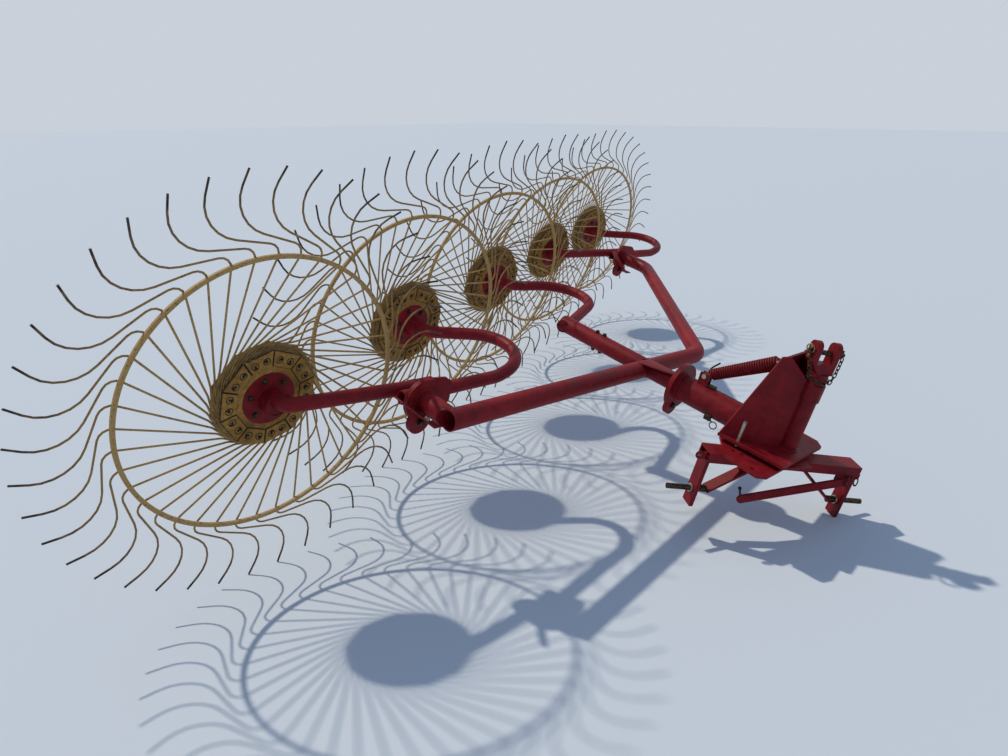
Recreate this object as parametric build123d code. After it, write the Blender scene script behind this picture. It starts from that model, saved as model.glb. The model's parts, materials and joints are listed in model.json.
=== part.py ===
from build123d import *
from math import acos, atan2, cos, degrees, hypot, radians, sin
import os

# A five-wheel finger-wheel rake, carried by a three-point hitch. Millimetres.
# It is modelled upright, as it works: the axis of the first hub passes through the origin,
# every wheel turns about a line along Y, the hitch is towards -Y, and Z is up.
# At the end it leans forward to the way it parks, on its wheels and one foot of the hitch.

# General fits
SEAT = 0.3                    # gap between pieces that are bolted or welded together
PIVOT_PLAY = 0.08             # radial play of a shaft in its bearing
LEAN = 14.0                   # how far the parked rake tips towards the hitch, in degrees

# Row of wheels
WHEEL_COUNT = 5
WHEEL_PITCH = 940.0           # hub to hub along the row
WHEEL_SKEW = 22.0             # degrees from the plane of a wheel to the row
STEP_X = WHEEL_PITCH * cos(radians(WHEEL_SKEW))
STEP_Y = WHEEL_PITCH * sin(radians(WHEEL_SKEW))

# Finger wheel
RING_RADIUS = 475.0
RING_WIDTH = 14.0             # radial
RING_THICKNESS = 9.0          # along the axle
TINE_COUNT = 40
TINE_SIZE = 7.0
TINE_BITE = 1.0               # how deep a tine lies in the ring's notch
TINE_SPACING = 360.0 / TINE_COUNT
SHANK_OFFSET = 146.0          # distance from the hub's centre to the line of a shank
ROOT_RADIUS = 156.0           # where a shank leaves the clamp plates' core
# bends of a tine: distance beyond the ring, degrees past its notch, set-back along the axle,
# length cut off each side
TINE_BENDS = [(32.0, -1.4, 0.0, 27.0), (119.0, 24.3, 13.5, 54.0)]
TINE_TIP = (263.0, 17.4, 5.5)  # the same, without a cut

# Hub
CLAMP_RADIUS = 176.0          # flats of the ten-sided clamp plates
CLAMP_SIDES = 10
CLAMP_THICKNESS = 4.0
CLAMP_CORE_RADIUS = 140.0
SEGMENT_INNER_RADIUS = 112.0  # flats of the ten segments on the front plate, inside and outside
SEGMENT_OUTER_RADIUS = 172.0
SEGMENT_THICKNESS = 3.0
SEGMENT_GAP = 5.0
HUB_FLANGE_RADIUS = 91.0
HUB_FLANGE_THICKNESS = 8.0
HUB_BOSS_RADIUS = 42.0
HUB_BOSS_FRONT = 60.0         # how far the boss reaches towards the arm
HUB_BOSS_BACK = 24.0
AXLE_RADIUS = 15.0
AXLE_NUT_RADIUS = 20.0
AXLE_NUT_LENGTH = 16.0

# Arms
ARM_RADIUS = 25.0
ARM_BORE_RADIUS = 21.0
OPEN_END_DEPTH = 100.0        # how far the open tube ends are bored
FRAME_RISE = 35.0             # height of the frame's tubes over the hubs
ARM_RISE = 20.0               # height of an arm's axis over the axle where it leaves the hub
CURVE_ELBOW = 125.0           # how far a curved arm runs straight out of its hub
# corner of a curved arm's U: to the side of its hub, in front of the hub and above it
CURVE_APEX = (385.0, 520.0, 115.0)
MIDDLE_APEX = (547.0, 368.0, 75.0)
CURVE_RADIUS = 184.0
CURVE_TAIL_BEND = 36.0        # how far the last bend lies on the other side of the hub
STRAIGHT_ELBOW = 101.0
STRAIGHT_RADIUS = 36.0
STRAIGHT_LAP = 430.0          # where the straight arm starts to run along the curved one
STRAIGHT_END = 545.0
CURVE_END = 370.0             # open end of the curved arm, from the first hub of its pair
ELBOW_RADIUS = 45.0

# Rocker pivots, measured from the first hub of each pair
PIVOT_X = 436.0
PIVOT_FACE = 248.0            # joint face of the two lobed plates, towards the hitch
PLATE_THICKNESS = 8.0
PLATE_GAP = 1.0               # between rocker plate and frame plate
PIVOT_LOBE_RADIUS = 77.0
STOP_LOBE_RADIUS = 48.0
# corners of a rocker plate's wing under the lapped arms: X and Z from the pivot
WING_CORNERS = [(0.0, 77.0), (95.0, 66.0), (130.0, 40.0), (130.0, -35.0), (0.0, -77.0)]
STOP_DROP = 85.0              # from the pivot down to the stop bolt
STOP_BOLT_RADIUS = 8.0
STOP_PLAY = 1.5               # between stop bolt and slot
ROCKER_SWING = 12.0           # degrees each way
ROCKER_PIN_RADIUS = 20.0
ROCKER_PIN_LENGTH = 90.0
HOUSING_RADIUS = 38.0
# bends of the strap in front of a frame plate: X and Z from the pivot
STRAP_BENDS = [(-141.0, 44.0), (33.0, -94.0), (79.0, -96.0)]
STRAP_WIDTH = 44.0
STRAP_THICKNESS = 6.0
FAR_PAIR = 3                  # the far rocker carries the fourth and fifth wheel

# Frame
BEAM_X = 1600.0
BEAM_END_Y = 94.0
TUBE_RADIUS = 38.0
TUBE_BORE_RADIUS = 33.0
TUBE_Y = -400.0
TUBE_NEAR_X = 420.0
TUBE_BEND_Y = 605.0           # second bend of the main tube
TUBE_BEND_RADIUS = 150.0
MIDDLE_WHEEL = 2
MIDDLE_ARM_Y = 66.0           # where the third wheel's arm meets the beam's flank

# Flanges and boom
FLANGE_Y = -575.0             # face where the two flanges meet
FLANGE_RADIUS = 100.0
FLANGE_THICKNESS = 10.0
FLANGE_LOBE_RADIUS = 43.0
FLANGE_LOBE_DROP = 88.0
FLANGE_LOBE_TURN = 20.0
BOOM_RADIUS = 57.0
BOOM_END_Y = -1000.0

# Mast on the king post
POST_X = BEAM_X
POST_Y = -1084.0
SHAFT_RADIUS = 22.0           # king post inside the mast's tube
NECK_RADIUS = 32.0            # king post above the mast
POST_TOP = 346.0
SECTOR_TOP = -8.0
SECTOR_THICKNESS = 10.0
SWING_PLATE_BOTTOM = 8.0
SWING_PLATE_THICKNESS = 12.0
THRUST_RADIUS = 48.0
MAST_TUBE_RADIUS = 32.0
MAST_COLLAR_RADIUS = 37.5
MAST_COLLAR_BOTTOM = 235.0
MAST_TOP = 301.0              # top of the collar
FIN_ANGLE = 42.7              # degrees from the boom's line to each side plate
FIN_THICKNESS = 8.0
# corners of a side plate behind the collar: distance from the post's axis, height
FIN_CORNERS = [(50.0, 318.0), (125.0, 380.0), (156.0, 372.0)]
FIN_FOOT = 276.0              # how far a side plate reaches along the swing plate
BACK_INSET = 10.0             # from the rear edges of the side plates to the back plate's middle
BACK_THICKNESS = 8.0
LOCK_RADIUS = 216.0           # lock pin and inner row of lock holes, from the post
LOCK_OUTER_RADIUS = 239.0     # outer row, half a step round
LOCK_STEP = 13.0
LOCK_PIN_RADIUS = 7.0
LOCK_PIN_LIFT = 2.0           # the pin is drawn up out of the sector plate
LOCK_PIN_LENGTH = 108.0
LOCK_HOLE_PLAY = 0.6

# Hitch, laid out along the crossbar and turned against the boom
HITCH_TURN = 33.7
HITCH_WIDTH = 683.0           # category 1, shoulder to shoulder of the drop arms
CROSSBAR_DEPTH = 81.5
CROSSBAR_HEIGHT = 40.0
CROSSBAR_WALL = 6.0
DROP_WIDTH = 60.0
DROP_THICKNESS = 16.0
LINK_PIN_RADIUS = 11.0
LINK_PIN_RISE = 67.0          # over the foot of a drop arm
LINK_PIN_LENGTH = 105.0       # free length outside the drop arm
LINK_ROOT_RADIUS = 14.0
LINK_ROOT_INSIDE = 44.0       # how far a pin's root reaches inwards past the drop arm
BRACE_WIDTH = 50.0
BRACE_THICKNESS = 10.0
BRACE_MIDDLE = 97.0           # where a brace meets the crossbar, from the middle
LOCK_ANGLE = 177.5            # lock pin's place round the post, from the crossbar
SPARE_HOLE = (-222.0, -137.0)

# Clevis of the top link
CLEVIS_SHIFT = -20.0          # it stands off the post's axis along the crossbar
EAR_PITCH = 83.0
EAR_THICKNESS = 24.0
EAR_WIDTH = 50.0
EAR_RISE = 18.0               # from the pin up to the centre of an ear's round top
CLEVIS_FLOOR = 383.0
CLEVIS_SHOULDER = 394.0       # below this height the fork narrows to the neck
TOP_PIN_Z = 425.0
TOP_PIN_RADIUS = 9.5
TOP_PIN_OUTSIDE = 14.0
TOP_PIN_HEAD_RADIUS = 15.0

# Float spring
SPRING_RADIUS = 25.0
SPRING_WIRE_RADIUS = 4.6
SPRING_TURNS = 22
COIL_SIDES = 12                 # straight runs in a turn
SPRING_FOOT = (-670.0, 129.0)   # Y and Z of the lower pin
SPRING_HEAD = (-934.0, 315.0)   # Y and Z of the upper pin
SPRING_HOOK = 25.0              # from a pin to the coil
SPRING_PLUG = 16.0              # length of a plug in the coil's end
SPRING_EYE_RADIUS = 13.0
SPRING_EYE_WIDTH = 12.0
SPRING_PIN_RADIUS = 6.0
SPRING_EAR_GAP = 16.0
SPRING_EAR = 8.0
EAR_HALF = SPRING_EYE_RADIUS + 3
BRACKET_MARGIN = 12.0           # from the lower pin up to the top of its bracket
BRACKET_LENGTH = 44.0

# Stay bar, pinned under the crossbar's right end
STAY_WIDTH = 35.0
STAY_THICKNESS = 10.0
STAY_LENGTH = 449.0           # pin to free end
STAY_DROOP = 15.5             # degrees below the crossbar
STAY_INSET = 56.5             # from the shoulder of the right drop arm
STAY_CLEAR = 5.5              # from the crossbar's front face
STAY_PIN_RADIUS = 8.0
STAY_HEAD_RADIUS = 13.0
STAY_LUG = 40.0

# Blocks that cut pieces off reach this far, beyond every piece
CUT_REACH = 3000.0


def polar(radius, angle, y=0.0):
    """Point in a wheel's plane, at an angle counter-clockwise from +X seen from the hitch."""
    return Vector(radius * cos(radians(angle)), y, radius * sin(radians(angle)))


def rod(start, end, radius):
    """Round bar from one point to another."""
    start = Vector(*start)
    end = Vector(*end)
    return Solid.make_cylinder(radius, (end - start).length, Plane(origin=start, z_dir=end - start))


def bent_bar(points, bend_radii, radius):
    """Round bar along straight runs that are joined by bends."""
    path = FilletPolyline(*points, radius=bend_radii)
    start = Vector(*points[0])
    section = Plane(origin=start, z_dir=Vector(*points[1]) - start) * Circle(radius)
    return sweep(section, path=path)


def open_end(bar, end, inside, bore_radius):
    """Bore a bar from its end, as the open end of a tube."""
    end = Vector(*end)
    direction = (Vector(*inside) - end).normalized()
    return bar - rod(end - direction * 30, end + direction * OPEN_END_DEPTH, bore_radius)


def flat_bar(start, end, width, thickness, normal):
    """Flat bar between two points, with its broad side facing along normal."""
    start = Vector(*start)
    end = Vector(*end)
    plane = Plane(origin=(start + end) / 2, x_dir=end - start, z_dir=normal)
    return plane * Box((end - start).length, width, thickness)


def plate(outline, bottom, thickness):
    """Horizontal plate from the corners of its outline."""
    return Pos(0, 0, bottom) * extrude(make_face(Polyline(*outline, close=True)), thickness)


# The way the parked rake stands
ROW_DIRECTION = Vector(cos(radians(WHEEL_SKEW)), sin(radians(WHEEL_SKEW)), 0)
UP = Vector(0, 0, 1).rotate(Axis((0, 0, 0), tuple(ROW_DIRECTION)), -LEAN)
DOWN_ANGLE = degrees(atan2(-UP.Z, -UP.X))


# Finger wheels
def tine_root_angle():
    """Where a shank starts round the hub, from its notch in the ring."""
    return degrees(acos(SHANK_OFFSET / RING_RADIUS)) - degrees(acos(SHANK_OFFSET / ROOT_RADIUS))


SHANK_Y = RING_THICKNESS / 2 + TINE_SIZE / 2 - TINE_BITE


def tine_corner(beyond_ring, angle, set_back):
    return polar(RING_RADIUS + beyond_ring, angle, SHANK_Y + set_back)


def tine():
    """One tine whose notch is at angle 0: shank, elbow, outer sweep and tip, its bends cut in steps."""
    root = polar(ROOT_RADIUS, tine_root_angle(), SHANK_Y)
    corners = [root] + [tine_corner(*bend[:3]) for bend in TINE_BENDS] + [tine_corner(*TINE_TIP)]
    points = [root]
    for k, bend in enumerate(TINE_BENDS, start=1):
        for neighbour in (corners[k - 1], corners[k + 1]):
            points.append(corners[k] + (neighbour - corners[k]).normalized() * bend[3])
    path = Polyline(*points, corners[-1])
    section = Plane(origin=root, x_dir=(0, 1, 0), z_dir=corners[1] - root) * Rectangle(TINE_SIZE, TINE_SIZE)
    return sweep(section, path=path, transition=Transition.RIGHT)


def flat_ring(radius, sides, thickness, y, turn=0.0):
    """Regular plate across the axle, its flats at the given radius."""
    face = Plane(origin=(0, y, 0), x_dir=(1, 0, 0), z_dir=(0, 1, 0)) * Rot(0, 0, turn) * RegularPolygon(
        radius, sides, major_radius=False)
    return extrude(face, thickness)


def tined_ring():
    """Ring with all its tines as one piece, with two tips level at the bottom."""
    ring = flat_ring(RING_RADIUS + RING_WIDTH / 2, TINE_COUNT, RING_THICKNESS, -RING_THICKNESS / 2)
    ring -= flat_ring(RING_RADIUS - RING_WIDTH / 2, TINE_COUNT, 2 * RING_THICKNESS, -RING_THICKNESS)
    ring = Rot(0, TINE_SPACING / 2, 0) * ring
    one = tine()
    tines = [Rot(0, -TINE_SPACING * k, 0) * one for k in range(TINE_COUNT)]
    phase = DOWN_ANGLE + TINE_SPACING / 2 - TINE_TIP[1]
    return Rot(0, -phase, 0) * ring.fuse(*tines)


def clamp_segments(back_y):
    """Ring of ten flat segments with gaps between them, in front of the given face."""
    front_y = back_y - SEGMENT_THICKNESS
    ring = flat_ring(SEGMENT_OUTER_RADIUS, CLAMP_SIDES, SEGMENT_THICKNESS, front_y)
    ring -= flat_ring(SEGMENT_INNER_RADIUS, CLAMP_SIDES, SEGMENT_THICKNESS, front_y)
    for k in range(CLAMP_SIDES):
        gap = Pos(CLAMP_RADIUS, back_y, 0) * Box(2 * CLAMP_RADIUS, 4 * SEGMENT_THICKNESS, SEGMENT_GAP)
        ring -= Rot(0, (k + 0.5) * 360 / CLAMP_SIDES, 0) * gap
    return ring


def clamp_plates():
    """Two ten-sided plates on a core, which grip the roots of the tines, with segments in front."""
    front_y = SHANK_Y - TINE_SIZE / 2 - CLAMP_THICKNESS
    back_y = SHANK_Y + TINE_SIZE / 2
    spool = flat_ring(CLAMP_RADIUS, CLAMP_SIDES, CLAMP_THICKNESS, front_y)
    spool += flat_ring(CLAMP_RADIUS, CLAMP_SIDES, CLAMP_THICKNESS, back_y)
    spool += rod((0, front_y, 0), (0, back_y + 1, 0), CLAMP_CORE_RADIUS)
    spool += clamp_segments(front_y)
    return spool - rod((0, front_y - 1, 0), (0, back_y + 10, 0), HUB_BOSS_RADIUS + SEAT)


def hub():
    """Flange and bearing boss that turn on the axle."""
    face_y = SHANK_Y - TINE_SIZE / 2 - CLAMP_THICKNESS
    body = rod((0, face_y - HUB_FLANGE_THICKNESS, 0), (0, face_y, 0), HUB_FLANGE_RADIUS)
    body += rod((0, -HUB_BOSS_FRONT, 0), (0, HUB_BOSS_BACK, 0), HUB_BOSS_RADIUS)
    return body - rod((0, -HUB_BOSS_FRONT - 1, 0), (0, HUB_BOSS_BACK + 1, 0), AXLE_RADIUS + PIVOT_PLAY)


def axle():
    """Axle through a hub, with the nut that holds the wheel on. It starts inside the arm."""
    nut_y = HUB_BOSS_BACK + SEAT
    shaft = rod((0, -HUB_BOSS_FRONT - SEAT - 1, 0), (0, nut_y + AXLE_NUT_LENGTH, 0), AXLE_RADIUS)
    return shaft + rod((0, nut_y, 0), (0, nut_y + AXLE_NUT_LENGTH, 0), AXLE_NUT_RADIUS)


def hub_place(k):
    """Centre of a hub in the row."""
    return Vector(k * STEP_X, k * STEP_Y, 0)


# Arms
LAP_Y = -(PIVOT_FACE - PLATE_THICKNESS - SEAT - ARM_RADIUS)
STRAIGHT_Y = LAP_Y + 2 * ARM_RADIUS + SEAT
ARM_START = (0, -HUB_BOSS_FRONT - SEAT, ARM_RISE)


def curved_arm(apex, tail_points, tail_radii):
    """Curved arm round the front of a wheel, from its hub to the points of its tail."""
    side, front, rise = apex
    points = [ARM_START, (0, -CURVE_ELBOW, ARM_RISE), (side, -front, rise)]
    return bent_bar(points + tail_points, [ELBOW_RADIUS, CURVE_RADIUS] + tail_radii, ARM_RADIUS) + axle()


def paired_arm():
    """Curved arm of a rocker, whose tail lies along the rocker plate. Origin at its own hub."""
    tail_y = LAP_Y - STEP_Y
    bend = (-CURVE_TAIL_BEND, tail_y, FRAME_RISE)
    end = (CURVE_END - STEP_X, tail_y, FRAME_RISE)
    return open_end(curved_arm(CURVE_APEX, [bend, end], [CURVE_RADIUS]), end, bend, ARM_BORE_RADIUS)


def middle_arm():
    """Curved arm of the third wheel, which is coped onto the flank of the beam."""
    beam_x = BEAM_X - MIDDLE_WHEEL * STEP_X
    end = Vector(beam_x, MIDDLE_ARM_Y - MIDDLE_WHEEL * STEP_Y, FRAME_RISE)
    side, front, rise = MIDDLE_APEX
    inwards = (Vector(side, -front, rise) - end).normalized()
    swept_end = end + inwards * 2.5 * TUBE_RADIUS
    stub = rod(swept_end, end, ARM_RADIUS)
    beam = rod((beam_x, -CUT_REACH, FRAME_RISE), (beam_x, CUT_REACH, FRAME_RISE), TUBE_RADIUS + SEAT)
    return curved_arm(MIDDLE_APEX, [swept_end], []) + (stub - beam)


def straight_arm():
    """Arm from the first hub of a pair to its rocker plate."""
    points = [ARM_START, (0, -STRAIGHT_ELBOW, ARM_RISE), (STRAIGHT_LAP, STRAIGHT_Y, FRAME_RISE),
              (STRAIGHT_END, STRAIGHT_Y, FRAME_RISE)]
    return bent_bar(points, [STRAIGHT_RADIUS, CURVE_RADIUS], ARM_RADIUS) + axle()


# Rocker pivots, with the origin at the first hub of the pair
def lobed_plate(front_y):
    """Plate with a round pivot lobe and a smaller stop lobe below it."""
    plane = Plane(origin=(PIVOT_X, front_y, FRAME_RISE), x_dir=(1, 0, 0), z_dir=(0, -1, 0))
    outline = Circle(PIVOT_LOBE_RADIUS) + Pos(0, -STOP_DROP) * Circle(STOP_LOBE_RADIUS)
    return extrude(plane * outline, PLATE_THICKNESS)


def rocker_plate():
    """Rocker plate: its wing under the arms, its pivot pin and the curved slot of the stop bolt."""
    front_y = -(PIVOT_FACE - PLATE_THICKNESS)
    plane = Plane(origin=(PIVOT_X, front_y, FRAME_RISE), x_dir=(1, 0, 0), z_dir=(0, -1, 0))
    wing = extrude(plane * make_face(Polyline(*WING_CORNERS, close=True)), PLATE_THICKNESS)
    body = lobed_plate(front_y) + wing
    body += rod((PIVOT_X, -PIVOT_FACE, FRAME_RISE), (PIVOT_X, -PIVOT_FACE - ROCKER_PIN_LENGTH, FRAME_RISE),
                ROCKER_PIN_RADIUS)
    slot_radius = STOP_BOLT_RADIUS + STOP_PLAY
    half_turn = ROCKER_SWING
    arc = CenterArc((0, 0), STOP_DROP, -90 - half_turn, 2 * half_turn)
    slot_plane = Plane(origin=(PIVOT_X, front_y + 1, FRAME_RISE), x_dir=(1, 0, 0), z_dir=(0, -1, 0))
    slot = extrude(slot_plane * SlotArc(arc, 2 * slot_radius), PLATE_THICKNESS + 2)
    return body - slot


def strap():
    """Bent strap that stands out of the frame plate's front, under the pivot."""
    plane = Plane(origin=(PIVOT_X, -(PIVOT_FACE + PLATE_GAP + PLATE_THICKNESS), FRAME_RISE),
                  x_dir=(1, 0, 0), z_dir=(0, -1, 0))
    return extrude(plane * trace(Polyline(*STRAP_BENDS), STRAP_THICKNESS), STRAP_WIDTH)


def frame_plate(housing_end):
    """Frame plate with the pivot housing, its bore, the strap and the stop bolt."""
    front_y = -(PIVOT_FACE + PLATE_GAP)
    body = lobed_plate(front_y) + strap()
    centre = (PIVOT_X, front_y, FRAME_RISE)
    radius, end_y = housing_end
    body += rod(centre, (PIVOT_X, end_y, FRAME_RISE), radius)
    bore_end = (PIVOT_X, -PIVOT_FACE - ROCKER_PIN_LENGTH - 2, FRAME_RISE)
    body -= rod((PIVOT_X, 0, FRAME_RISE), bore_end, ROCKER_PIN_RADIUS + PIVOT_PLAY)
    bolt_z = FRAME_RISE - STOP_DROP
    bolt_front = -(PIVOT_FACE - PLATE_THICKNESS) + STOP_BOLT_RADIUS
    return body + rod((PIVOT_X, bolt_front, bolt_z), (PIVOT_X, front_y - 1, bolt_z), STOP_BOLT_RADIUS)


def near_housing():
    """Near frame plate, whose housing is coped onto the main tube."""
    body = frame_plate((HOUSING_RADIUS, TUBE_Y))
    tube = rod((-CUT_REACH, TUBE_Y, FRAME_RISE), (CUT_REACH, TUBE_Y, FRAME_RISE), TUBE_RADIUS + SEAT)
    return body - tube


def far_housing():
    """Far frame plate, whose bush sits in the end of the main tube."""
    return frame_plate((TUBE_BORE_RADIUS - SEAT, -PIVOT_FACE - ROCKER_PIN_LENGTH - 10))


# Frame
FAR_X = PIVOT_X + FAR_PAIR * STEP_X
FAR_PLATE_Y = -(PIVOT_FACE + PLATE_GAP + PLATE_THICKNESS) + FAR_PAIR * STEP_Y
TUBE_BEND_X = FAR_X - (TUBE_BEND_Y - TUBE_Y)


def centre_beam():
    """Tube from its open end to the frame flange."""
    end = (BEAM_X, BEAM_END_Y, FRAME_RISE)
    flange = (BEAM_X, FLANGE_Y + FLANGE_THICKNESS + SEAT, FRAME_RISE)
    return open_end(rod(flange, end, TUBE_RADIUS), end, flange, TUBE_BORE_RADIUS)


def main_tube():
    """Tube across the beam, in two lengths that are coped onto it. The far one has two bends."""
    near_end = (TUBE_NEAR_X, TUBE_Y, FRAME_RISE)
    crossing = (BEAM_X, TUBE_Y, FRAME_RISE)
    far_end = (FAR_X, FAR_PLATE_Y - SEAT, FRAME_RISE)
    far_points = [crossing, (TUBE_BEND_X, TUBE_Y, FRAME_RISE), (FAR_X, TUBE_BEND_Y, FRAME_RISE), far_end]
    near = open_end(rod(near_end, crossing, TUBE_RADIUS), near_end, crossing, TUBE_BORE_RADIUS)
    far = bent_bar(far_points, [TUBE_BEND_RADIUS, TUBE_BEND_RADIUS], TUBE_RADIUS)
    far = open_end(far, far_end, far_points[2], TUBE_BORE_RADIUS)
    beam = rod((BEAM_X, BEAM_END_Y, FRAME_RISE), (BEAM_X, FLANGE_Y, FRAME_RISE), TUBE_RADIUS + SEAT)
    return Compound([near - beam, far - beam])


def flange(back_y):
    """Round flange with a lobe for the lower bolt."""
    plane = Plane(origin=(BEAM_X, back_y, FRAME_RISE), x_dir=(1, 0, 0), z_dir=(0, -1, 0))
    lobe = Rot(0, 0, -90 - FLANGE_LOBE_TURN) * Pos(FLANGE_LOBE_DROP, 0) * Circle(FLANGE_LOBE_RADIUS)
    return extrude(plane * (Circle(FLANGE_RADIUS) + lobe), FLANGE_THICKNESS)


SWING_PLATE_TOP = SWING_PLATE_BOTTOM + SWING_PLATE_THICKNESS


def boom():
    """Thick tube from the boom flange into the mast, cut away over the swing plate."""
    start = (BEAM_X, FLANGE_Y - FLANGE_THICKNESS - SEAT, FRAME_RISE)
    bar = rod(start, (BEAM_X, BOOM_END_Y, FRAME_RISE), BOOM_RADIUS)
    plate_back = POST_Y + SWING_OUTLINE[0][1] + SEAT
    cut = Pos(BEAM_X, plate_back, SWING_PLATE_TOP + SEAT) * Box(
        CUT_REACH, CUT_REACH, CUT_REACH, align=(Align.CENTER, Align.MAX, Align.MAX))
    return bar - cut


# Mast. Corners of the swing plate, from the post
SWING_OUTLINE = [(-192, 206), (-181, -69), (168, -71), (206, -38), (211, 32), (190, 206)]


def turn_about_post(shape, angle):
    """Turn a shape that is modelled with the post at the origin, and set it on the post."""
    return Pos(POST_X, POST_Y, 0) * Rot(0, 0, angle) * shape


def swing_plate():
    """Bottom plate of the mast, with its pivot hole and the hole of the lock pin."""
    body = plate(SWING_OUTLINE, SWING_PLATE_BOTTOM, SWING_PLATE_THICKNESS)
    body -= rod((0, 0, -CUT_REACH), (0, 0, CUT_REACH), SHAFT_RADIUS + PIVOT_PLAY)
    body -= lock_rod(-CUT_REACH, CUT_REACH, LOCK_PIN_RADIUS + SEAT)
    return turn_about_post(body, 0)


def lock_rod(bottom, top, radius):
    """Upright rod at the lock pin's place, with the post at the origin."""
    angle = radians(LOCK_ANGLE - HITCH_TURN)
    x = LOCK_RADIUS * cos(angle)
    y = LOCK_RADIUS * sin(angle)
    return rod((x, y, bottom), (x, y, top), radius)


def lock_pin():
    bottom = SECTOR_TOP + 5 + LOCK_PIN_LIFT
    return turn_about_post(lock_rod(bottom, bottom + LOCK_PIN_LENGTH, LOCK_PIN_RADIUS), 0)


def on_both_sides(right):
    return [right, mirror(right, about=Plane.YZ)]


def fin_direction():
    """Level direction from the post along the right side plate."""
    return Vector(sin(radians(FIN_ANGLE)), cos(radians(FIN_ANGLE)), 0)


def fin():
    """Right side plate: an upright plate that stands out from the post's axis."""
    outward = fin_direction()
    plane = Plane(origin=(0, 0, 0), x_dir=outward, z_dir=outward.cross(Vector(0, 0, 1)))
    collar = MAST_COLLAR_RADIUS + SEAT
    tube = MAST_TUBE_RADIUS + SEAT
    outline = [(tube, SWING_PLATE_TOP), (tube, MAST_COLLAR_BOTTOM), (collar, MAST_COLLAR_BOTTOM),
               (collar, MAST_TOP), *FIN_CORNERS, (FIN_FOOT, SWING_PLATE_TOP)]
    middle = plane.offset(-FIN_THICKNESS / 2)
    body = extrude(middle * make_face(Polyline(*outline, close=True)), FIN_THICKNESS)
    return body - mast_tube_body(SEAT)


def mast_tube_body(margin=0.0):
    """Tube and collar of the mast, grown by a margin. Post at the origin."""
    body = rod((0, 0, SWING_PLATE_TOP), (0, 0, MAST_TOP), MAST_TUBE_RADIUS + margin)
    return body + rod((0, 0, MAST_COLLAR_BOTTOM), (0, 0, MAST_TOP), MAST_COLLAR_RADIUS + margin)


def side_plates():
    """Two side plates of the mast, which spread towards the rear corners of the swing plate."""
    return turn_about_post(Compound(on_both_sides(fin())), 0)


def between_fins(body):
    """Trim a piece to the wedge between the side plates."""
    outward = fin_direction()
    normal = Vector(outward.Y, -outward.X, 0)
    plane = Plane(origin=normal * -(FIN_THICKNESS / 2 + SEAT), x_dir=outward, z_dir=normal)
    outside = extrude(plane * Rectangle(CUT_REACH, CUT_REACH), CUT_REACH)
    for side in on_both_sides(outside):
        body -= side
    return body


def rear_edge(height):
    """How far behind the post the rear edges of the side plates are at a height."""
    low = Vector(FIN_FOOT, SWING_PLATE_TOP)
    high = Vector(*FIN_CORNERS[-1])
    share = (height - low.Y) / (high.Y - low.Y)
    return (low.X + (high.X - low.X) * share) * cos(radians(FIN_ANGLE))


def spring_ears():
    """Two ears behind the mast's back plate that hold the upper pin of the spring. Post at the origin."""
    y = SPRING_HEAD[0] - POST_Y
    z = SPRING_HEAD[1]
    reach = y - rear_edge(z + EAR_HALF) + BACK_INSET
    plane = Plane(origin=(-SPRING_EAR_GAP / 2 - SPRING_EAR, y, z), x_dir=(0, 1, 0), z_dir=(1, 0, 0))
    outline = Circle(EAR_HALF) + Pos(-reach / 2, 0) * Rectangle(reach, 2 * EAR_HALF)
    outline -= Circle(SPRING_PIN_RADIUS + SEAT)
    body = extrude(plane * outline, SPRING_EAR_GAP + 2 * SPRING_EAR)
    return body - Pos(0, y - SPRING_EYE_RADIUS - 3 * SEAT, z) * Box(
        SPRING_EAR_GAP, CUT_REACH, CUT_REACH, align=(Align.CENTER, Align.MIN, Align.CENTER))


def mast_back():
    """Sloping plate between the side plates, which the boom passes through."""
    top = FIN_CORNERS[-1][1]
    low = Vector(0, rear_edge(SWING_PLATE_TOP) - BACK_INSET, SWING_PLATE_TOP)
    high = Vector(0, rear_edge(top) - BACK_INSET, top)
    slope = (high - low).normalized()
    low = low - slope * 2 * BACK_THICKNESS
    body = flat_bar(low, high, CUT_REACH, BACK_THICKNESS, slope.cross(Vector(1, 0, 0)))
    body = between_fins(body) + spring_ears()
    body -= Pos(0, 0, SWING_PLATE_TOP) * Box(
        CUT_REACH, CUT_REACH, CUT_REACH, align=(Align.CENTER, Align.CENTER, Align.MAX))
    body -= rod((0, 0, FRAME_RISE), (0, CUT_REACH, FRAME_RISE), BOOM_RADIUS + SEAT)
    return turn_about_post(body, 0)


def sleeve():
    """Tube and collar that turn on the king post."""
    bore = rod((0, 0, 0), (0, 0, CUT_REACH), SHAFT_RADIUS + PIVOT_PLAY)
    return turn_about_post(mast_tube_body() - bore, 0)


# Float spring between the boom and the mast
def spring_end(place):
    """Pin of the spring with a head at each side, between two ears."""
    half = SPRING_EAR_GAP / 2 + SPRING_EAR + SEAT
    centre = Vector(0, place[0], place[1])
    side = Vector(half, 0, 0)
    pin = rod(centre - side, centre + side, SPRING_PIN_RADIUS)
    for way in (-1, 1):
        pin += rod(centre + side * way, centre + side * way * 1.25, SPRING_PIN_RADIUS * 1.7)
    return Pos(BEAM_X, 0, 0) * pin


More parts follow.
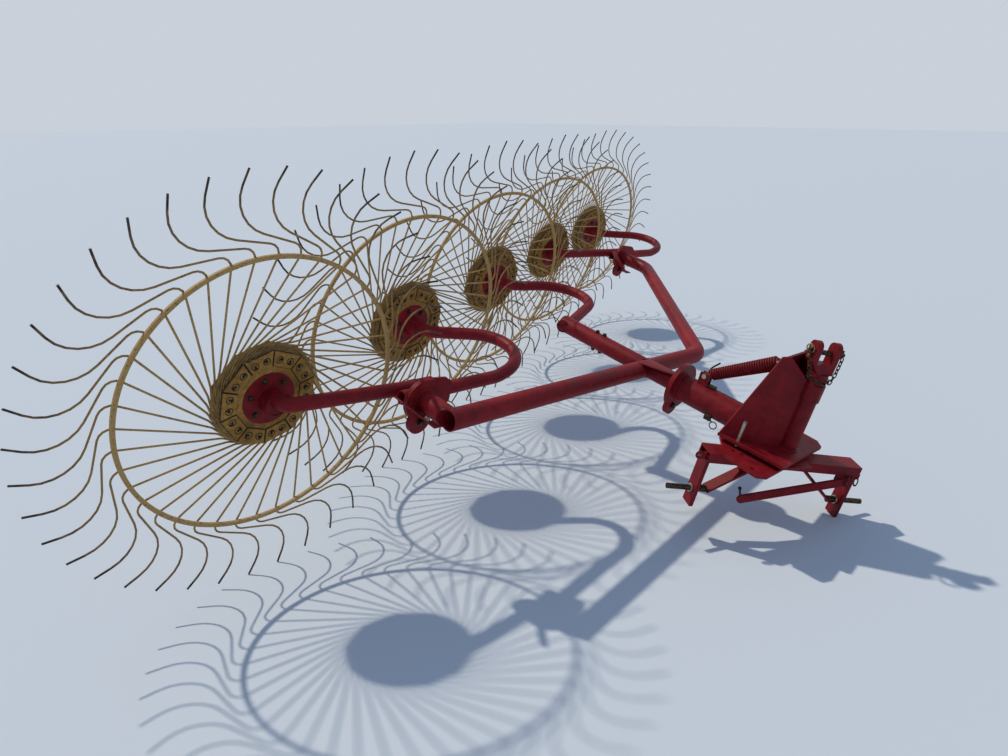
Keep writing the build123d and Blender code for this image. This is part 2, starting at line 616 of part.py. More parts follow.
def spring_bracket():
    """Ears on top of the boom that hold the lower pin of the spring."""
    across = SPRING_EAR_GAP + 2 * SPRING_EAR
    height = SPRING_FOOT[1] + BRACKET_MARGIN - FRAME_RISE
    body = Pos(BEAM_X, SPRING_FOOT[0], FRAME_RISE) * Box(
        across, BRACKET_LENGTH, height, align=(Align.CENTER, Align.CENTER, Align.MIN))
    body -= Pos(BEAM_X, SPRING_FOOT[0], FRAME_RISE + BOOM_RADIUS + SPRING_EAR) * Box(
        SPRING_EAR_GAP, CUT_REACH, CUT_REACH, align=(Align.CENTER, Align.CENTER, Align.MIN))
    boom_body = rod((BEAM_X, FLANGE_Y, FRAME_RISE), (BEAM_X, POST_Y, FRAME_RISE), BOOM_RADIUS + SEAT)
    centre = Vector(BEAM_X, *SPRING_FOOT)
    hole = rod(centre - Vector(across, 0, 0), centre + Vector(across, 0, 0), SPRING_PIN_RADIUS + SEAT)
    return body - boom_body - hole


def coil(length):
    """Open coil along Z from the origin, of straight square runs."""
    rise = length - 2 * SPRING_WIRE_RADIUS
    runs = SPRING_TURNS * COIL_SIDES
    corner = Vector((SPRING_RADIUS - SPRING_WIRE_RADIUS) / cos(radians(180 / COIL_SIDES)), 0, SPRING_WIRE_RADIUS)
    path = Polyline(*[(corner + Vector(0, 0, rise * k / runs)).rotate(Axis.Z, 360 * k / COIL_SIDES)
                      for k in range(runs + 1)])
    start = Plane(origin=path @ 0, x_dir=(1, 0, 0), z_dir=path % 0)
    section = start * Rectangle(2 * SPRING_WIRE_RADIUS, 2 * SPRING_WIRE_RADIUS)
    return sweep(section, path=path, transition=Transition.RIGHT)


def float_spring():
    """Coil spring with a plug in each end, which carries an eye."""
    foot = Vector(BEAM_X, *SPRING_FOOT)
    head = Vector(BEAM_X, *SPRING_HEAD)
    along = (head - foot).normalized()
    start = Plane(origin=foot + along * SPRING_HOOK, x_dir=(1, 0, 0), z_dir=along)
    pieces = [start * coil((head - foot).length - 2 * SPRING_HOOK)]
    half = Vector(SPRING_EYE_WIDTH / 2, 0, 0)
    plug_radius = SPRING_RADIUS - 2 * SPRING_WIRE_RADIUS - SEAT
    for end, inwards in ((foot, along), (head, along * -1)):
        face = end + inwards * SPRING_HOOK
        eye = rod(end - half, end + half, SPRING_EYE_RADIUS) + rod(end, face, SPRING_EYE_WIDTH / 2)
        eye += rod(face, face + inwards * SPRING_PLUG, plug_radius)
        pieces.append(eye - rod(end - half * 2, end + half * 2, SPRING_PIN_RADIUS + SEAT))
    return Compound(pieces)


def spring_pins():
    """Both pins of the spring."""
    return Compound([spring_end(SPRING_FOOT), spring_end(SPRING_HEAD)])


# Hitch, modelled with the post at the origin and the crossbar along X; the tractor is towards -Y
SECTOR_OUTLINE = [(-160, 92), (-240, 95), (-297, -62), (-272, -108), (-245, -167), (-232, -188), (-189, -190),
                  (-70, -112), (70, -90), (90, 60), (-90, 122)]


def to_hitch(shape):
    return turn_about_post(shape, -HITCH_TURN)


CROSSBAR_TOP = SECTOR_TOP - SECTOR_THICKNESS
CROSSBAR_BOTTOM = CROSSBAR_TOP - CROSSBAR_HEIGHT
CROSSBAR_HALF = HITCH_WIDTH / 2


def crossbar():
    """Box section across the hitch."""
    body = Pos(0, 0, CROSSBAR_TOP - CROSSBAR_HEIGHT / 2) * Box(
        2 * CROSSBAR_HALF, CROSSBAR_DEPTH, CROSSBAR_HEIGHT)
    inner = Pos(0, 0, CROSSBAR_TOP - CROSSBAR_HEIGHT / 2) * Box(
        CUT_REACH, CROSSBAR_DEPTH - 2 * CROSSBAR_WALL, CROSSBAR_HEIGHT - 2 * CROSSBAR_WALL)
    return to_hitch(body - inner)


def sector_plate():
    """Plate under the mast with the row of lock holes."""
    body = plate(SECTOR_OUTLINE, CROSSBAR_TOP, SECTOR_THICKNESS)
    places = [SPARE_HOLE]
    for half_steps in (-2, -1, 0, 1, 2):
        radius = LOCK_OUTER_RADIUS if half_steps % 2 else LOCK_RADIUS
        angle = radians(LOCK_ANGLE + half_steps * LOCK_STEP / 2)
        places.append((radius * cos(angle), radius * sin(angle)))
    for x, y in places:
        body -= rod((x, y, -60), (x, y, 20), LOCK_PIN_RADIUS + LOCK_HOLE_PLAY)
    return to_hitch(body)


def king_post():
    """Post on the sector plate: thrust ring under the mast, shaft through it and neck above it."""
    body = rod((0, 0, SECTOR_TOP), (0, 0, POST_TOP), SHAFT_RADIUS)
    body += rod((0, 0, MAST_TOP + SEAT), (0, 0, POST_TOP), NECK_RADIUS)
    body += rod((0, 0, SECTOR_TOP), (0, 0, SWING_PLATE_BOTTOM - SEAT), THRUST_RADIUS)
    return to_hitch(body)


def clevis():
    """Fork for the top link: two round-topped ears on a foot that narrows to the neck."""
    ear_outside = EAR_PITCH / 2 + EAR_THICKNESS / 2
    left = CLEVIS_SHIFT - ear_outside
    right = CLEVIS_SHIFT + ear_outside
    side = Plane(origin=(left, 0, 0), x_dir=(0, 1, 0), z_dir=(1, 0, 0))
    round_z = TOP_PIN_Z + EAR_RISE
    outline = Pos(0, (POST_TOP + round_z) / 2) * Rectangle(EAR_WIDTH, round_z - POST_TOP)
    outline += Pos(0, round_z) * Circle(EAR_WIDTH / 2)
    outline -= Pos(0, TOP_PIN_Z) * Circle(TOP_PIN_RADIUS + SEAT)
    body = extrude(side * outline, 2 * ear_outside)
    gap = EAR_PITCH - EAR_THICKNESS
    body -= Pos(CLEVIS_SHIFT, 0, CLEVIS_FLOOR) * Box(
        gap, CUT_REACH, CUT_REACH, align=(Align.CENTER, Align.CENTER, Align.MIN))
    front = Plane(origin=(0, -EAR_WIDTH, 0), x_dir=(1, 0, 0), z_dir=(0, -1, 0))
    for edge, way in ((left, -1), (right, 1)):
        neck = way * NECK_RADIUS
        corner = [(edge + way, POST_TOP), (edge + way, CLEVIS_SHOULDER), (edge, CLEVIS_SHOULDER),
                  (neck, POST_TOP)]
        body -= extrude(front * make_face(Polyline(*corner, close=True)), -2 * EAR_WIDTH)
    return to_hitch(body)


def top_pin():
    """Pin of the top link, with its head on the right."""
    ear_outside = EAR_PITCH / 2 + EAR_THICKNESS / 2
    left = CLEVIS_SHIFT - ear_outside - TOP_PIN_OUTSIDE
    right = CLEVIS_SHIFT + ear_outside + SEAT
    body = rod((left, 0, TOP_PIN_Z), (right + TOP_PIN_OUTSIDE, 0, TOP_PIN_Z), TOP_PIN_RADIUS)
    body += rod((right, 0, TOP_PIN_Z), (right + TOP_PIN_OUTSIDE, 0, TOP_PIN_Z), TOP_PIN_HEAD_RADIUS)
    return to_hitch(body)


def floor_height(wheel):
    """Height of the floor along UP, where the wheel's lowest tine tips touch it."""
    return min(Vector(v.X, v.Y, v.Z).dot(UP) for v in wheel.vertices())


def foot_height(floor):
    """Where the drop arms end, so that the lower foot just reaches the floor. In the hitch's axes."""
    up = UP.rotate(Axis.Z, HITCH_TURN)
    reach = abs(HITCH_WIDTH / 2 * up.X) + abs(DROP_WIDTH / 2 * up.Y)
    return (floor - Vector(POST_X, POST_Y, 0).dot(UP) + reach) / up.Z


def on_both_ends(right):
    """A piece of the hitch and its twin on the left end."""
    return to_hitch(Compound(on_both_sides(right)))


def drop_arms(foot):
    """Flat bars under the ends of the crossbar."""
    outside = HITCH_WIDTH / 2
    top = CROSSBAR_BOTTOM - SEAT
    body = Pos(outside, 0, top) * Box(
        DROP_THICKNESS, DROP_WIDTH, top - foot, align=(Align.MAX, Align.CENTER, Align.MAX))
    pin_z = foot + LINK_PIN_RISE
    body -= rod((0, 0, pin_z), (CUT_REACH, 0, pin_z), LINK_ROOT_RADIUS + SEAT)
    return on_both_ends(body)


def link_pins(foot):
    """Pins of the lower links. Each has a thicker root through its drop arm, held by a brace inside."""
    outside = HITCH_WIDTH / 2
    pin_z = foot + LINK_PIN_RISE
    body = rod((outside, 0, pin_z), (outside + LINK_PIN_LENGTH, 0, pin_z), LINK_PIN_RADIUS)
    body += rod((pin_inner_end(), 0, pin_z), (outside, 0, pin_z), LINK_ROOT_RADIUS)
    return on_both_ends(body)


def pin_inner_end():
    return HITCH_WIDTH / 2 - DROP_THICKNESS - LINK_ROOT_INSIDE


def braces(foot):
    """Flat bars from the inner ends of the link pins up to the underside of the crossbar."""
    low_x = pin_inner_end() - SEAT
    low = Vector(low_x, 0, foot + LINK_PIN_RISE)
    high = Vector(BRACE_MIDDLE, 0, CROSSBAR_BOTTOM - SEAT)
    along = (high - low).normalized()
    spare = along * 3 * BRACE_THICKNESS
    body = flat_bar(low - spare, high + spare, BRACE_WIDTH, BRACE_THICKNESS, along.cross(Vector(0, 1, 0)))
    body -= Pos(low_x, 0, 0) * Box(
        CUT_REACH, CUT_REACH, CUT_REACH, align=(Align.MIN, Align.CENTER, Align.CENTER))
    body -= Pos(0, 0, CROSSBAR_BOTTOM - SEAT) * Box(
        CUT_REACH, CUT_REACH, CUT_REACH, align=(Align.CENTER, Align.CENTER, Align.MIN))
    return on_both_ends(body)


STAY_X = HITCH_WIDTH / 2 - STAY_INSET
STAY_BACK_Y = -CROSSBAR_DEPTH / 2 - STAY_CLEAR
STAY_FRONT_Y = STAY_BACK_Y - STAY_THICKNESS
STAY_Z = CROSSBAR_BOTTOM - SEAT - STAY_WIDTH / 2 - 2.5


def stay_lug():
    """Lug under the crossbar with the pin of the stay bar."""
    top = CROSSBAR_BOTTOM - SEAT
    body = Pos(STAY_X, STAY_BACK_Y + SEAT, top) * Box(
        STAY_LUG, CROSSBAR_DEPTH / 2, 2 * (top - STAY_Z), align=(Align.CENTER, Align.MIN, Align.MAX))
    body += rod((STAY_X, STAY_BACK_Y + 1, STAY_Z), (STAY_X, STAY_FRONT_Y - 8, STAY_Z), STAY_PIN_RADIUS)
    body += rod((STAY_X, STAY_FRONT_Y - SEAT, STAY_Z), (STAY_X, STAY_FRONT_Y - 8, STAY_Z), STAY_HEAD_RADIUS)
    return to_hitch(body)


def stay_bar():
    """Flat bar with round ends that swings in front of the crossbar."""
    plane = Plane(origin=(STAY_X, STAY_BACK_Y, STAY_Z), x_dir=(1, 0, 0), z_dir=(0, -1, 0))
    turned = Rot(0, 0, 180 + STAY_DROOP)
    outline = turned * Pos(STAY_LENGTH / 2, 0) * SlotCenterToCenter(STAY_LENGTH, STAY_WIDTH)
    outline -= Circle(STAY_PIN_RADIUS + PIVOT_PLAY)
    return to_hitch(extrude(plane * outline, STAY_THICKNESS))


def rake():
    """Every sub-part by its name, upright, with the first hub at the origin."""
    wheel = tined_ring()
    plates = clamp_plates()
    bearing = hub()
    foot = foot_height(floor_height(wheel))
    parts = {}
    for k in range(WHEEL_COUNT):
        place = Pos(*hub_place(k))
        parts[f"wheel_{k + 1}_tines"] = place * wheel
        parts[f"wheel_{k + 1}_clamp"] = place * plates
        parts[f"wheel_{k + 1}_hub"] = place * bearing
    for side, first in (("near", 0), ("far", FAR_PAIR)):
        place = Pos(*hub_place(first))
        parts[f"{side}_rocker_plate"] = place * rocker_plate()
        parts[f"{side}_straight_arm"] = place * straight_arm()
        parts[f"{side}_curved_arm"] = Pos(*hub_place(first + 1)) * paired_arm()
    parts["near_pivot_housing"] = near_housing()
    parts["far_pivot_housing"] = Pos(*hub_place(FAR_PAIR)) * far_housing()
    parts["middle_curved_arm"] = Pos(*hub_place(MIDDLE_WHEEL)) * middle_arm()
    parts["main_tube"] = main_tube()
    parts["centre_beam"] = centre_beam()
    parts["frame_flange"] = flange(FLANGE_Y + FLANGE_THICKNESS)
    parts["boom_flange"] = flange(FLANGE_Y)
    parts["boom"] = boom()
    parts["spring_bracket"] = spring_bracket()
    parts["float_spring"] = float_spring()
    parts["spring_pins"] = spring_pins()
    parts["swing_plate"] = swing_plate()
    parts["mast_sides"] = side_plates()
    parts["mast_back"] = mast_back()
    parts["mast_sleeve"] = sleeve()
    parts["lock_pin"] = lock_pin()
    parts["sector_plate"] = sector_plate()
    parts["king_post"] = king_post()
    parts["top_clevis"] = clevis()
    parts["top_pin"] = top_pin()
    parts["crossbar"] = crossbar()
    parts["drop_arms"] = drop_arms(foot)
    parts["link_pins"] = link_pins(foot)
    parts["braces"] = braces(foot)
    parts["stay_lug"] = stay_lug()
    parts["stay_bar"] = stay_bar()
    return parts


def parking_move(parts):
    """Lean the rake forward about its row of wheels, then set it on the floor, centred."""
    lean = Axis((0, 0, 0), tuple(ROW_DIRECTION))
    leaning = {name: shape.rotate(lean, LEAN) for name, shape in parts.items()}
    box = Compound(list(leaning.values())).bounding_box()
    centre = Pos(-(box.min.X + box.max.X) / 2, -(box.min.Y + box.max.Y) / 2, -box.min.Z)
    return {name: centre * shape for name, shape in leaning.items()}, centre


os.makedirs("parts", exist_ok=True)
PARTS, CENTRE = parking_move(rake())
for name, shape in PARTS.items():
    export_step(shape, f"parts/{name}.step")
print(len(PARTS), "sub-parts; the first hub is at", tuple(CENTRE.position))
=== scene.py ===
# %% [markdown]
# A finger-wheel rake stands in the yard: five big wheels of sprung wire tines, carried on a red frame
# of bent tubes that ends in a three-point hitch. The solid model already gives every tube, plate and
# pin its true size. This script loads it as a fixed frame, gives every surface its real finish, and
# makes the round wires and the small things that a solid model leaves plain.

# %% Load the rake
import json
import math

import bmesh
import bpy
from mathutils import Matrix, Vector, noise


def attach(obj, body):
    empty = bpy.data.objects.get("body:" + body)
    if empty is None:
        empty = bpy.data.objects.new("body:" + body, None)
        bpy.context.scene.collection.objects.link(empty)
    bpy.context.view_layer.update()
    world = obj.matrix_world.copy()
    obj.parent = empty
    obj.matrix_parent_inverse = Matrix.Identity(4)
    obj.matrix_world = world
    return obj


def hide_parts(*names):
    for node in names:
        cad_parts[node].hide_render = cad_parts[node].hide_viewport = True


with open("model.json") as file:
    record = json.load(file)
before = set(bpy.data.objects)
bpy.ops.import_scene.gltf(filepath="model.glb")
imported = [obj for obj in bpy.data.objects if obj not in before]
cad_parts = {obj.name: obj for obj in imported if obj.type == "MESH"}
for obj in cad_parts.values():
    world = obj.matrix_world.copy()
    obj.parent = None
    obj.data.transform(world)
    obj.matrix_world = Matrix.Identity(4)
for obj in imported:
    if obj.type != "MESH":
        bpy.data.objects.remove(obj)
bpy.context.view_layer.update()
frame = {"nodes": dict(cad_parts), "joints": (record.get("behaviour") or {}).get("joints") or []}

joints = {joint["name"]: joint for joint in frame["joints"]}

# %% [markdown]
# The rake is easiest to think about as it works: upright, in millimetres, with the first hub at the
# origin, the hitch towards -Y and every wheel turning about a line along Y. It is parked with a lean
# towards the hitch, about the line through its hubs. One matrix takes a place in the upright rake to
# where it stands now, in metres.

# %% Where the parked rake stands
LEAN = math.radians(14)
WHEELS = 5
hubs = [Vector(joints[f"wheel_{k + 1}_turn"]["pos_m"]) for k in range(WHEELS)]
row = (hubs[-1] - hubs[0]).normalized()
parked = Matrix.Translation(hubs[0]) @ Matrix.Rotation(LEAN, 4, row) @ Matrix.Scale(0.001, 4)
hub_places = [parked.inverted() @ hub for hub in hubs]
print("hub spacing:", round((hub_places[1] - hub_places[0]).length), "mm")

# %% [markdown]
# The photograph was taken by someone who stood in front of the row, near the first wheel, and looked a
# little down from eye height. The camera is placed first, because it decides what has to look right.

# %% Camera
FOCAL_PIXELS = 767
FRAME_PIXELS = 1008
CAMERA_FROM_HUB = Vector((-1.1255, -2.1347, 0.8731))
CAMERA_RIGHT = Vector((0.6942, -0.7202, -0.0015))
CAMERA_FORWARD = Vector((0.6789, 0.6543, -0.3326))
camera_data = bpy.data.cameras.new("camera")
camera_data.sensor_width = 36
camera_data.lens = camera_data.sensor_width * FOCAL_PIXELS / FRAME_PIXELS
camera = bpy.data.objects.new("camera", camera_data)
camera_up = CAMERA_RIGHT.cross(CAMERA_FORWARD)
turn = Matrix((CAMERA_RIGHT.normalized(), camera_up.normalized(),
               -CAMERA_FORWARD.normalized())).transposed()
camera.matrix_world = Matrix.Translation(hubs[0] + CAMERA_FROM_HUB) @ turn.to_4x4()
bpy.context.scene.collection.objects.link(camera)
bpy.context.scene.camera = camera
bpy.context.scene.view_settings.view_transform = "Standard"
print("camera height:", round(camera.location.z, 2), "m")

# %% [markdown]
# Paint colours are easiest to read and to compare as the hex values that a colour chart gives. Those
# are sRGB, while a shader works in linear light, so one function converts them. Nodes are added by one
# small function too: it sets the node's properties, then its sockets, and a socket may be given a
# plain value or another node's output.

# %% Helpers for materials
def linear(hex_colour):
    """A #RRGGBB colour as linear RGBA."""
    channels = [int(hex_colour[i:i + 2], 16) / 255 for i in (1, 3, 5)]
    return tuple(c / 12.92 if c <= 0.04045 else ((c + 0.055) / 1.055) ** 2.4 for c in channels) + (1.0,)


def add_node(tree, kind, sockets=None, **properties):
    """Add a node to a tree, set its properties, and fill or link its sockets."""
    node = tree.nodes.new(kind)
    for name, value in properties.items():
        setattr(node, name, value)
    for name, value in (sockets or {}).items():
        if isinstance(value, bpy.types.NodeSocket):
            tree.links.new(value, node.inputs[name])
        else:
            node.inputs[name].default_value = value
    return node


def new_material(name):
    """An empty material with its principled shader. Returns the material, its tree and the shader."""
    material = bpy.data.materials.new(name)
    material.use_nodes = True
    tree = material.node_tree
    return material, tree, tree.nodes["Principled BSDF"]


def noise_factor(tree, size_mm, detail=3, roughness=0.5):
    """Noise on Object coordinates, whose blotches are about this many millimetres wide."""
    place = add_node(tree, "ShaderNodeTexCoord").outputs["Object"]
    return add_node(tree, "ShaderNodeTexNoise", {
        "Vector": place, "Scale": 1000 / size_mm, "Detail": detail, "Roughness": roughness}).outputs["Fac"]


def between(tree, value, low, high, to_low=0.0, to_high=1.0):
    """The value between two limits, mapped to two others and held there."""
    return add_node(tree, "ShaderNodeMapRange", {
        "Value": value, "From Min": low, "From Max": high,
        "To Min": to_low, "To Max": to_high}).outputs["Result"]


def calculate(tree, operation, first, second):
    return add_node(tree, "ShaderNodeMath", {0: first, 1: second}, operation=operation).outputs[0]


def ramp(tree, factor, stops):
    """A colour ramp from (position, hex colour) pairs."""
    node = add_node(tree, "ShaderNodeValToRGB", {"Fac": factor})
    elements = node.color_ramp.elements
    while len(elements) < len(stops):
        elements.new(0.5)
    for element, (position, colour) in zip(elements, stops):
        element.position = position
        element.color = linear(colour)
    return node.outputs["Color"]


def blended(tree, factor, first, second):
    """One colour over another, by a factor."""
    return add_node(tree, "ShaderNodeMix", {"Factor": factor, 6: first, 7: second},
                    data_type="RGBA").outputs[2]


def bumped(tree, shader, height, strength, depth_mm):
    """A fine relief on the surface, from a height."""
    bump = add_node(tree, "ShaderNodeBump", {
        "Height": height, "Strength": strength, "Distance": depth_mm / 1000})
    tree.links.new(bump.outputs["Normal"], shader.inputs["Normal"])


# %% [markdown]
# The frame was sprayed with tractor enamel over hot-rolled steel. Years outdoors have chalked the
# gloss and let the red drift, while corners and hollows keep a deeper red. The big drift is a slow
# noise of about 260 mm and the mottling about 35 mm. Rust comes through at worn edges and in fine
# specks. Real pits are under a millimetre, too fine for this view, so the specks are drawn 5 mm wide.
# A worn edge is found by comparing the surface's direction with the same direction rounded over 3 mm.

# %% Faded red enamel
# nearly all of the two noises' mean lies between the first and the last of these
NOISE_STOPS = (0.36, 0.5, 0.64)
SPECK_DRIFT = 0.35
CHALKED_SPECULAR = 0.18


def edge_wear(tree, radius_mm):
    """1 on sharp edges, 0 on flats."""
    rounded = add_node(tree, "ShaderNodeBevel", {"Radius": radius_mm / 1000}, samples=4).outputs["Normal"]
    true_normal = add_node(tree, "ShaderNodeNewGeometry").outputs["Normal"]
    agreement = add_node(tree, "ShaderNodeVectorMath", {0: rounded, 1: true_normal},
                         operation="DOT_PRODUCT").outputs["Value"]
    return between(tree, agreement, 0.985, 0.86)


def weathered_paint(name, colours, rust, rust_edge, gloss, drift_mm, mottle_mm, speck_mm, wear_mm,
                    worn_share):
    """Weathered paint: a slow drift and a finer mottling between three colours, with rust in specks."""
    material, tree, shader = new_material(name)
    drift = noise_factor(tree, drift_mm, 2)
    mottle = noise_factor(tree, mottle_mm, 4, 0.6)
    speck = noise_factor(tree, speck_mm, 3, 0.7)
    mixed = calculate(tree, "MULTIPLY", calculate(tree, "ADD", drift, mottle), 0.5)
    paint = ramp(tree, mixed, list(zip(NOISE_STOPS, colours)))
    specks = between(tree, calculate(tree, "ADD", speck, calculate(tree, "MULTIPLY", drift, SPECK_DRIFT)),
                     rust_edge, rust_edge + 0.05)
    patchy = between(tree, mottle, 0.42, 0.62, 0.1, worn_share)
    worn = calculate(tree, "MULTIPLY", edge_wear(tree, wear_mm), patchy)
    rusty = calculate(tree, "MAXIMUM", specks, worn)
    tree.links.new(blended(tree, rusty, paint, linear(rust)), shader.inputs["Base Color"])
    roughness = between(tree, mixed, NOISE_STOPS[0], NOISE_STOPS[-1], *gloss)
    tree.links.new(roughness, shader.inputs["Roughness"])
    shader.inputs["Specular IOR Level"].default_value = CHALKED_SPECULAR
    bumped(tree, shader, speck, 0.2, 0.6)
    return material


red_enamel = weathered_paint("faded red enamel", ("#630D16", "#7C121B", "#8F1E26"), "#43211A", 0.85,
                             (0.42, 0.62), drift_mm=260, mottle_mm=35, speck_mm=5, wear_mm=3,
                             worn_share=0.75)

# %% [markdown]
# The wheels were dipped in a thin ochre paint. On the clamp plates it is blotched with brown where
# water stands, and painted shade lies in the holes.

# %% Weathered ochre paint
ochre_paint = weathered_paint("weathered ochre paint", ("#70522A", "#966C2F", "#AE8748"), "#3C2715", 0.80,
                              (0.5, 0.75), drift_mm=110, mottle_mm=16, speck_mm=4, wear_mm=2,
                              worn_share=0.8)

# %% [markdown]
# The tines are spring wire. They are brown with dirt at their roots, keep a light ochre along the
# shank and most of the sweep, and are scoured bare and dark where they comb the ground. The wires
# carry an attribute, "reach", that says how far a place lies from the hub, as a share of the tip's
# distance. The colour follows it, shifted by a noise so that no two wires change at the same place.

# %% Spring wire, ochre to bare
WIRE_STOPS = [(0.04, "#5C4124"), (0.3, "#A17D40"), (0.5, "#B49053"), (0.64, "#A38043"),
              (0.84, "#846636"), (0.95, "#463627"), (1.0, "#2C231D")]


def tine_finish():
    material, tree, shader = new_material("ochre spring wire, bare at the tips")
    reach = add_node(tree, "ShaderNodeAttribute", attribute_name="reach").outputs["Fac"]
    blotch = noise_factor(tree, 28, 4, 0.65)
    fleck = noise_factor(tree, 7, 3, 0.6)
    shifted = calculate(tree, "ADD", reach, between(tree, blotch, 0.3, 0.7, -0.1, 0.1))
    wire = ramp(tree, shifted, WIRE_STOPS)
    rusty = between(tree, fleck, 0.56, 0.66, 0.0, 0.75)
    tree.links.new(blended(tree, rusty, wire, linear("#4A2C18")), shader.inputs["Base Color"])
    tree.links.new(between(tree, shifted, 0.6, 1.0, 0.65, 0.42), shader.inputs["Roughness"])
    tree.links.new(between(tree, shifted, 0.88, 1.0, 0.0, 0.6), shader.inputs["Metallic"])
    bumped(tree, shader, fleck, 0.25, 0.4)
    return material


tine_wire = tine_finish()

# %% [markdown]
# Pins are turned from bright bar and carry a film of oil and dirt, so they stay metallic with uneven
# roughness. Chain, bolts and link pins are dark and rusty, and the lynch pin still has some of its
# yellow zinc. A metal keeps the default index of refraction.

# %% Bare metals
GRIME_EDGE = (0.36, 0.6)


def bare_metal(name, light, dark, smoothest, roughest, grime_mm):
    material, tree, shader = new_material(name)
    grime = noise_factor(tree, grime_mm, 4)
    tree.links.new(ramp(tree, grime, list(zip(GRIME_EDGE, (dark, light)))), shader.inputs["Base Color"])
    tree.links.new(between(tree, grime, *GRIME_EDGE, roughest, smoothest), shader.inputs["Roughness"])
    shader.inputs["Metallic"].default_value = 1.0
    bumped(tree, shader, grime, 0.15, 0.3)
    return material


bright_steel = bare_metal("oily bright steel", "#BDB9AE", "#8A8376", 0.28, 0.46, 20)
# the dark rusty steel also paints the shade inside two holes in the crossbar's top
dark_steel_and_hole_shade = bare_metal("dark rusty steel and painted hole shade", "#5A4A3F", "#261D19", 0.45, 0.75, 6)
brass_plate = bare_metal("yellow zinc plating", "#A89662", "#5A4A2C", 0.3, 0.55, 5)

# %% [markdown]
# Near-black painted shade fills the clamp's holes, its gaps and its core, and the seam round the foot
# of the mast's tube, where only shade falls. It has no sheen, and only a faint change of tone.

# %% Painted shade
def painted_shade_finish():
    material, tree, shader = new_material("painted shade black")
    tree.links.new(ramp(tree, noise_factor(tree, 6, 3), [(0.4, "#15100D"), (0.65, "#2E221A")]),
                   shader.inputs["Base Color"])
    shader.inputs["Roughness"].default_value = 0.7
    return material


painted_shade_black = painted_shade_finish()

# %% [markdown]
# The solid pieces keep their own meshes and only get a finish. The wheels' plates are ochre, the pins
# are bright or rusty steel, and everything else wears the red enamel.

# %% Finish of every solid piece
for name, node in frame["nodes"].items():
    if name.startswith("wheel_") and not name.endswith("_hub"):
        finish, slot = ochre_paint, "yellow_paint"
    elif name == "top_pin":
        finish, slot = dark_steel_and_hole_shade, "dull_metal"
    elif name == "link_pins":
        finish, slot = dark_steel_and_hole_shade, "bare_steel"
    elif name in ("lock_pin", "spring_pins"):
        finish, slot = bright_steel, "bare_steel"
    else:
        finish, slot = red_enamel, "red_paint"
    node.data.materials.clear()
    node.data.materials.append(finish)
print("solid pieces finished:", len(frame["nodes"]))

# %% [markdown]
# Every new piece is shaped in the upright rake's millimetres, or in a place of its own that a matrix
# sets in the upright rake. One function then moves it to where the parked rake stands, joins doubled
# corners, turns the faces outward, keeps sharp edges sharp and hangs it on the body that carries it.

# %% Helpers for pieces
def mesh_piece(name, shape, body, finish, place=Matrix.Identity(4), stands_for=(), sharpest=35):
    """Turn a bmesh into a finished object that rides on a body, and free the bmesh."""
    bmesh.ops.transform(shape, matrix=parked @ place, verts=shape.verts)
    bmesh.ops.remove_doubles(shape, verts=shape.verts, dist=0.00002)
    bmesh.ops.recalc_face_normals(shape, faces=shape.faces)
    for face in shape.faces:
        face.smooth = True
    for edge in shape.edges:
        edge.smooth = edge.calc_face_angle(0) < math.radians(sharpest)
    mesh = bpy.data.meshes.new(name)
    shape.to_mesh(mesh)
    shape.free()
    piece = bpy.data.objects.new(name, mesh)
    bpy.context.scene.collection.objects.link(piece)
    mesh.materials.append(finish)
    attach(piece, body)
    if stands_for:
        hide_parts(*stands_for)
    print(name, len(mesh.polygons), "faces")


def facing(place, direction):
    """Matrix that sets the Z axis at a place, along a direction."""
    return Matrix.Translation(place) @ Vector(direction).to_track_quat("Z", "Y").to_matrix().to_4x4()


def each_once(elements):
    """These elements without repeats. A set would give them in another order in each run."""
    return list(dict.fromkeys(elements))


def edges_of(verts):
    """The edges that meet these vertices."""
    return each_once(e for v in verts for e in v.link_edges)


def verts_of(geometry):
    """The vertices among the elements that an operator returns."""
    return [g for g in geometry if isinstance(g, bmesh.types.BMVert)]


def break_edges(shape, edges, size):
    """Round these edges off in two steps."""
    bmesh.ops.bevel(shape, geom=each_once(edges), offset=size, segments=2, profile=0.5, material=-1,
                    affect="EDGES")


def add_rod(shape, start, end, radius, sides=20, edge=1.0):
    """Round bar between two points, its end edges broken."""
    start, end = Vector(start), Vector(end)
    made = bmesh.ops.create_cone(
        shape, cap_ends=True, segments=sides, radius1=radius, radius2=radius,
        depth=(end - start).length, matrix=facing((start + end) / 2, end - start))["verts"]
    if edge:
        caps = [e for v in made for f in v.link_faces if len(f.verts) == sides for e in f.edges]
        break_edges(shape, caps, edge)
    return made


def add_block(shape, centre, size, edge=1.5):
    """Block with broken edges."""
    made = bmesh.ops.create_cube(shape, size=1, matrix=Matrix.Translation(centre) @ Matrix.Diagonal(
        (*size, 1)))["verts"]
    break_edges(shape, edges_of(made), edge)


def open_edges(verts):
    """Edges between these vertices that border at most one face."""
    chosen = set(verts)
    return [e for e in edges_of(verts)
            if len(e.link_faces) < 2 and e.verts[0] in chosen and e.verts[1] in chosen]


def add_ring(shape, centre, axis, radius, thickness, steps=40, sides=8):
    """Closed round ring: a small circle spun all the way round its axis."""
    centre, axis = Vector(centre), Vector(axis).normalized()
    outward = axis.orthogonal().normalized()
    made = bmesh.ops.create_circle(shape, segments=sides, radius=thickness,
                                   matrix=facing(centre + outward * radius, axis.cross(outward)))["verts"]
    before = set(shape.verts)
    bmesh.ops.spin(shape, geom=made + edges_of(made), cent=centre, axis=axis, angle=2 * math.pi,
                   steps=steps, use_merge=True)
    return made + [v for v in shape.verts if v not in before]


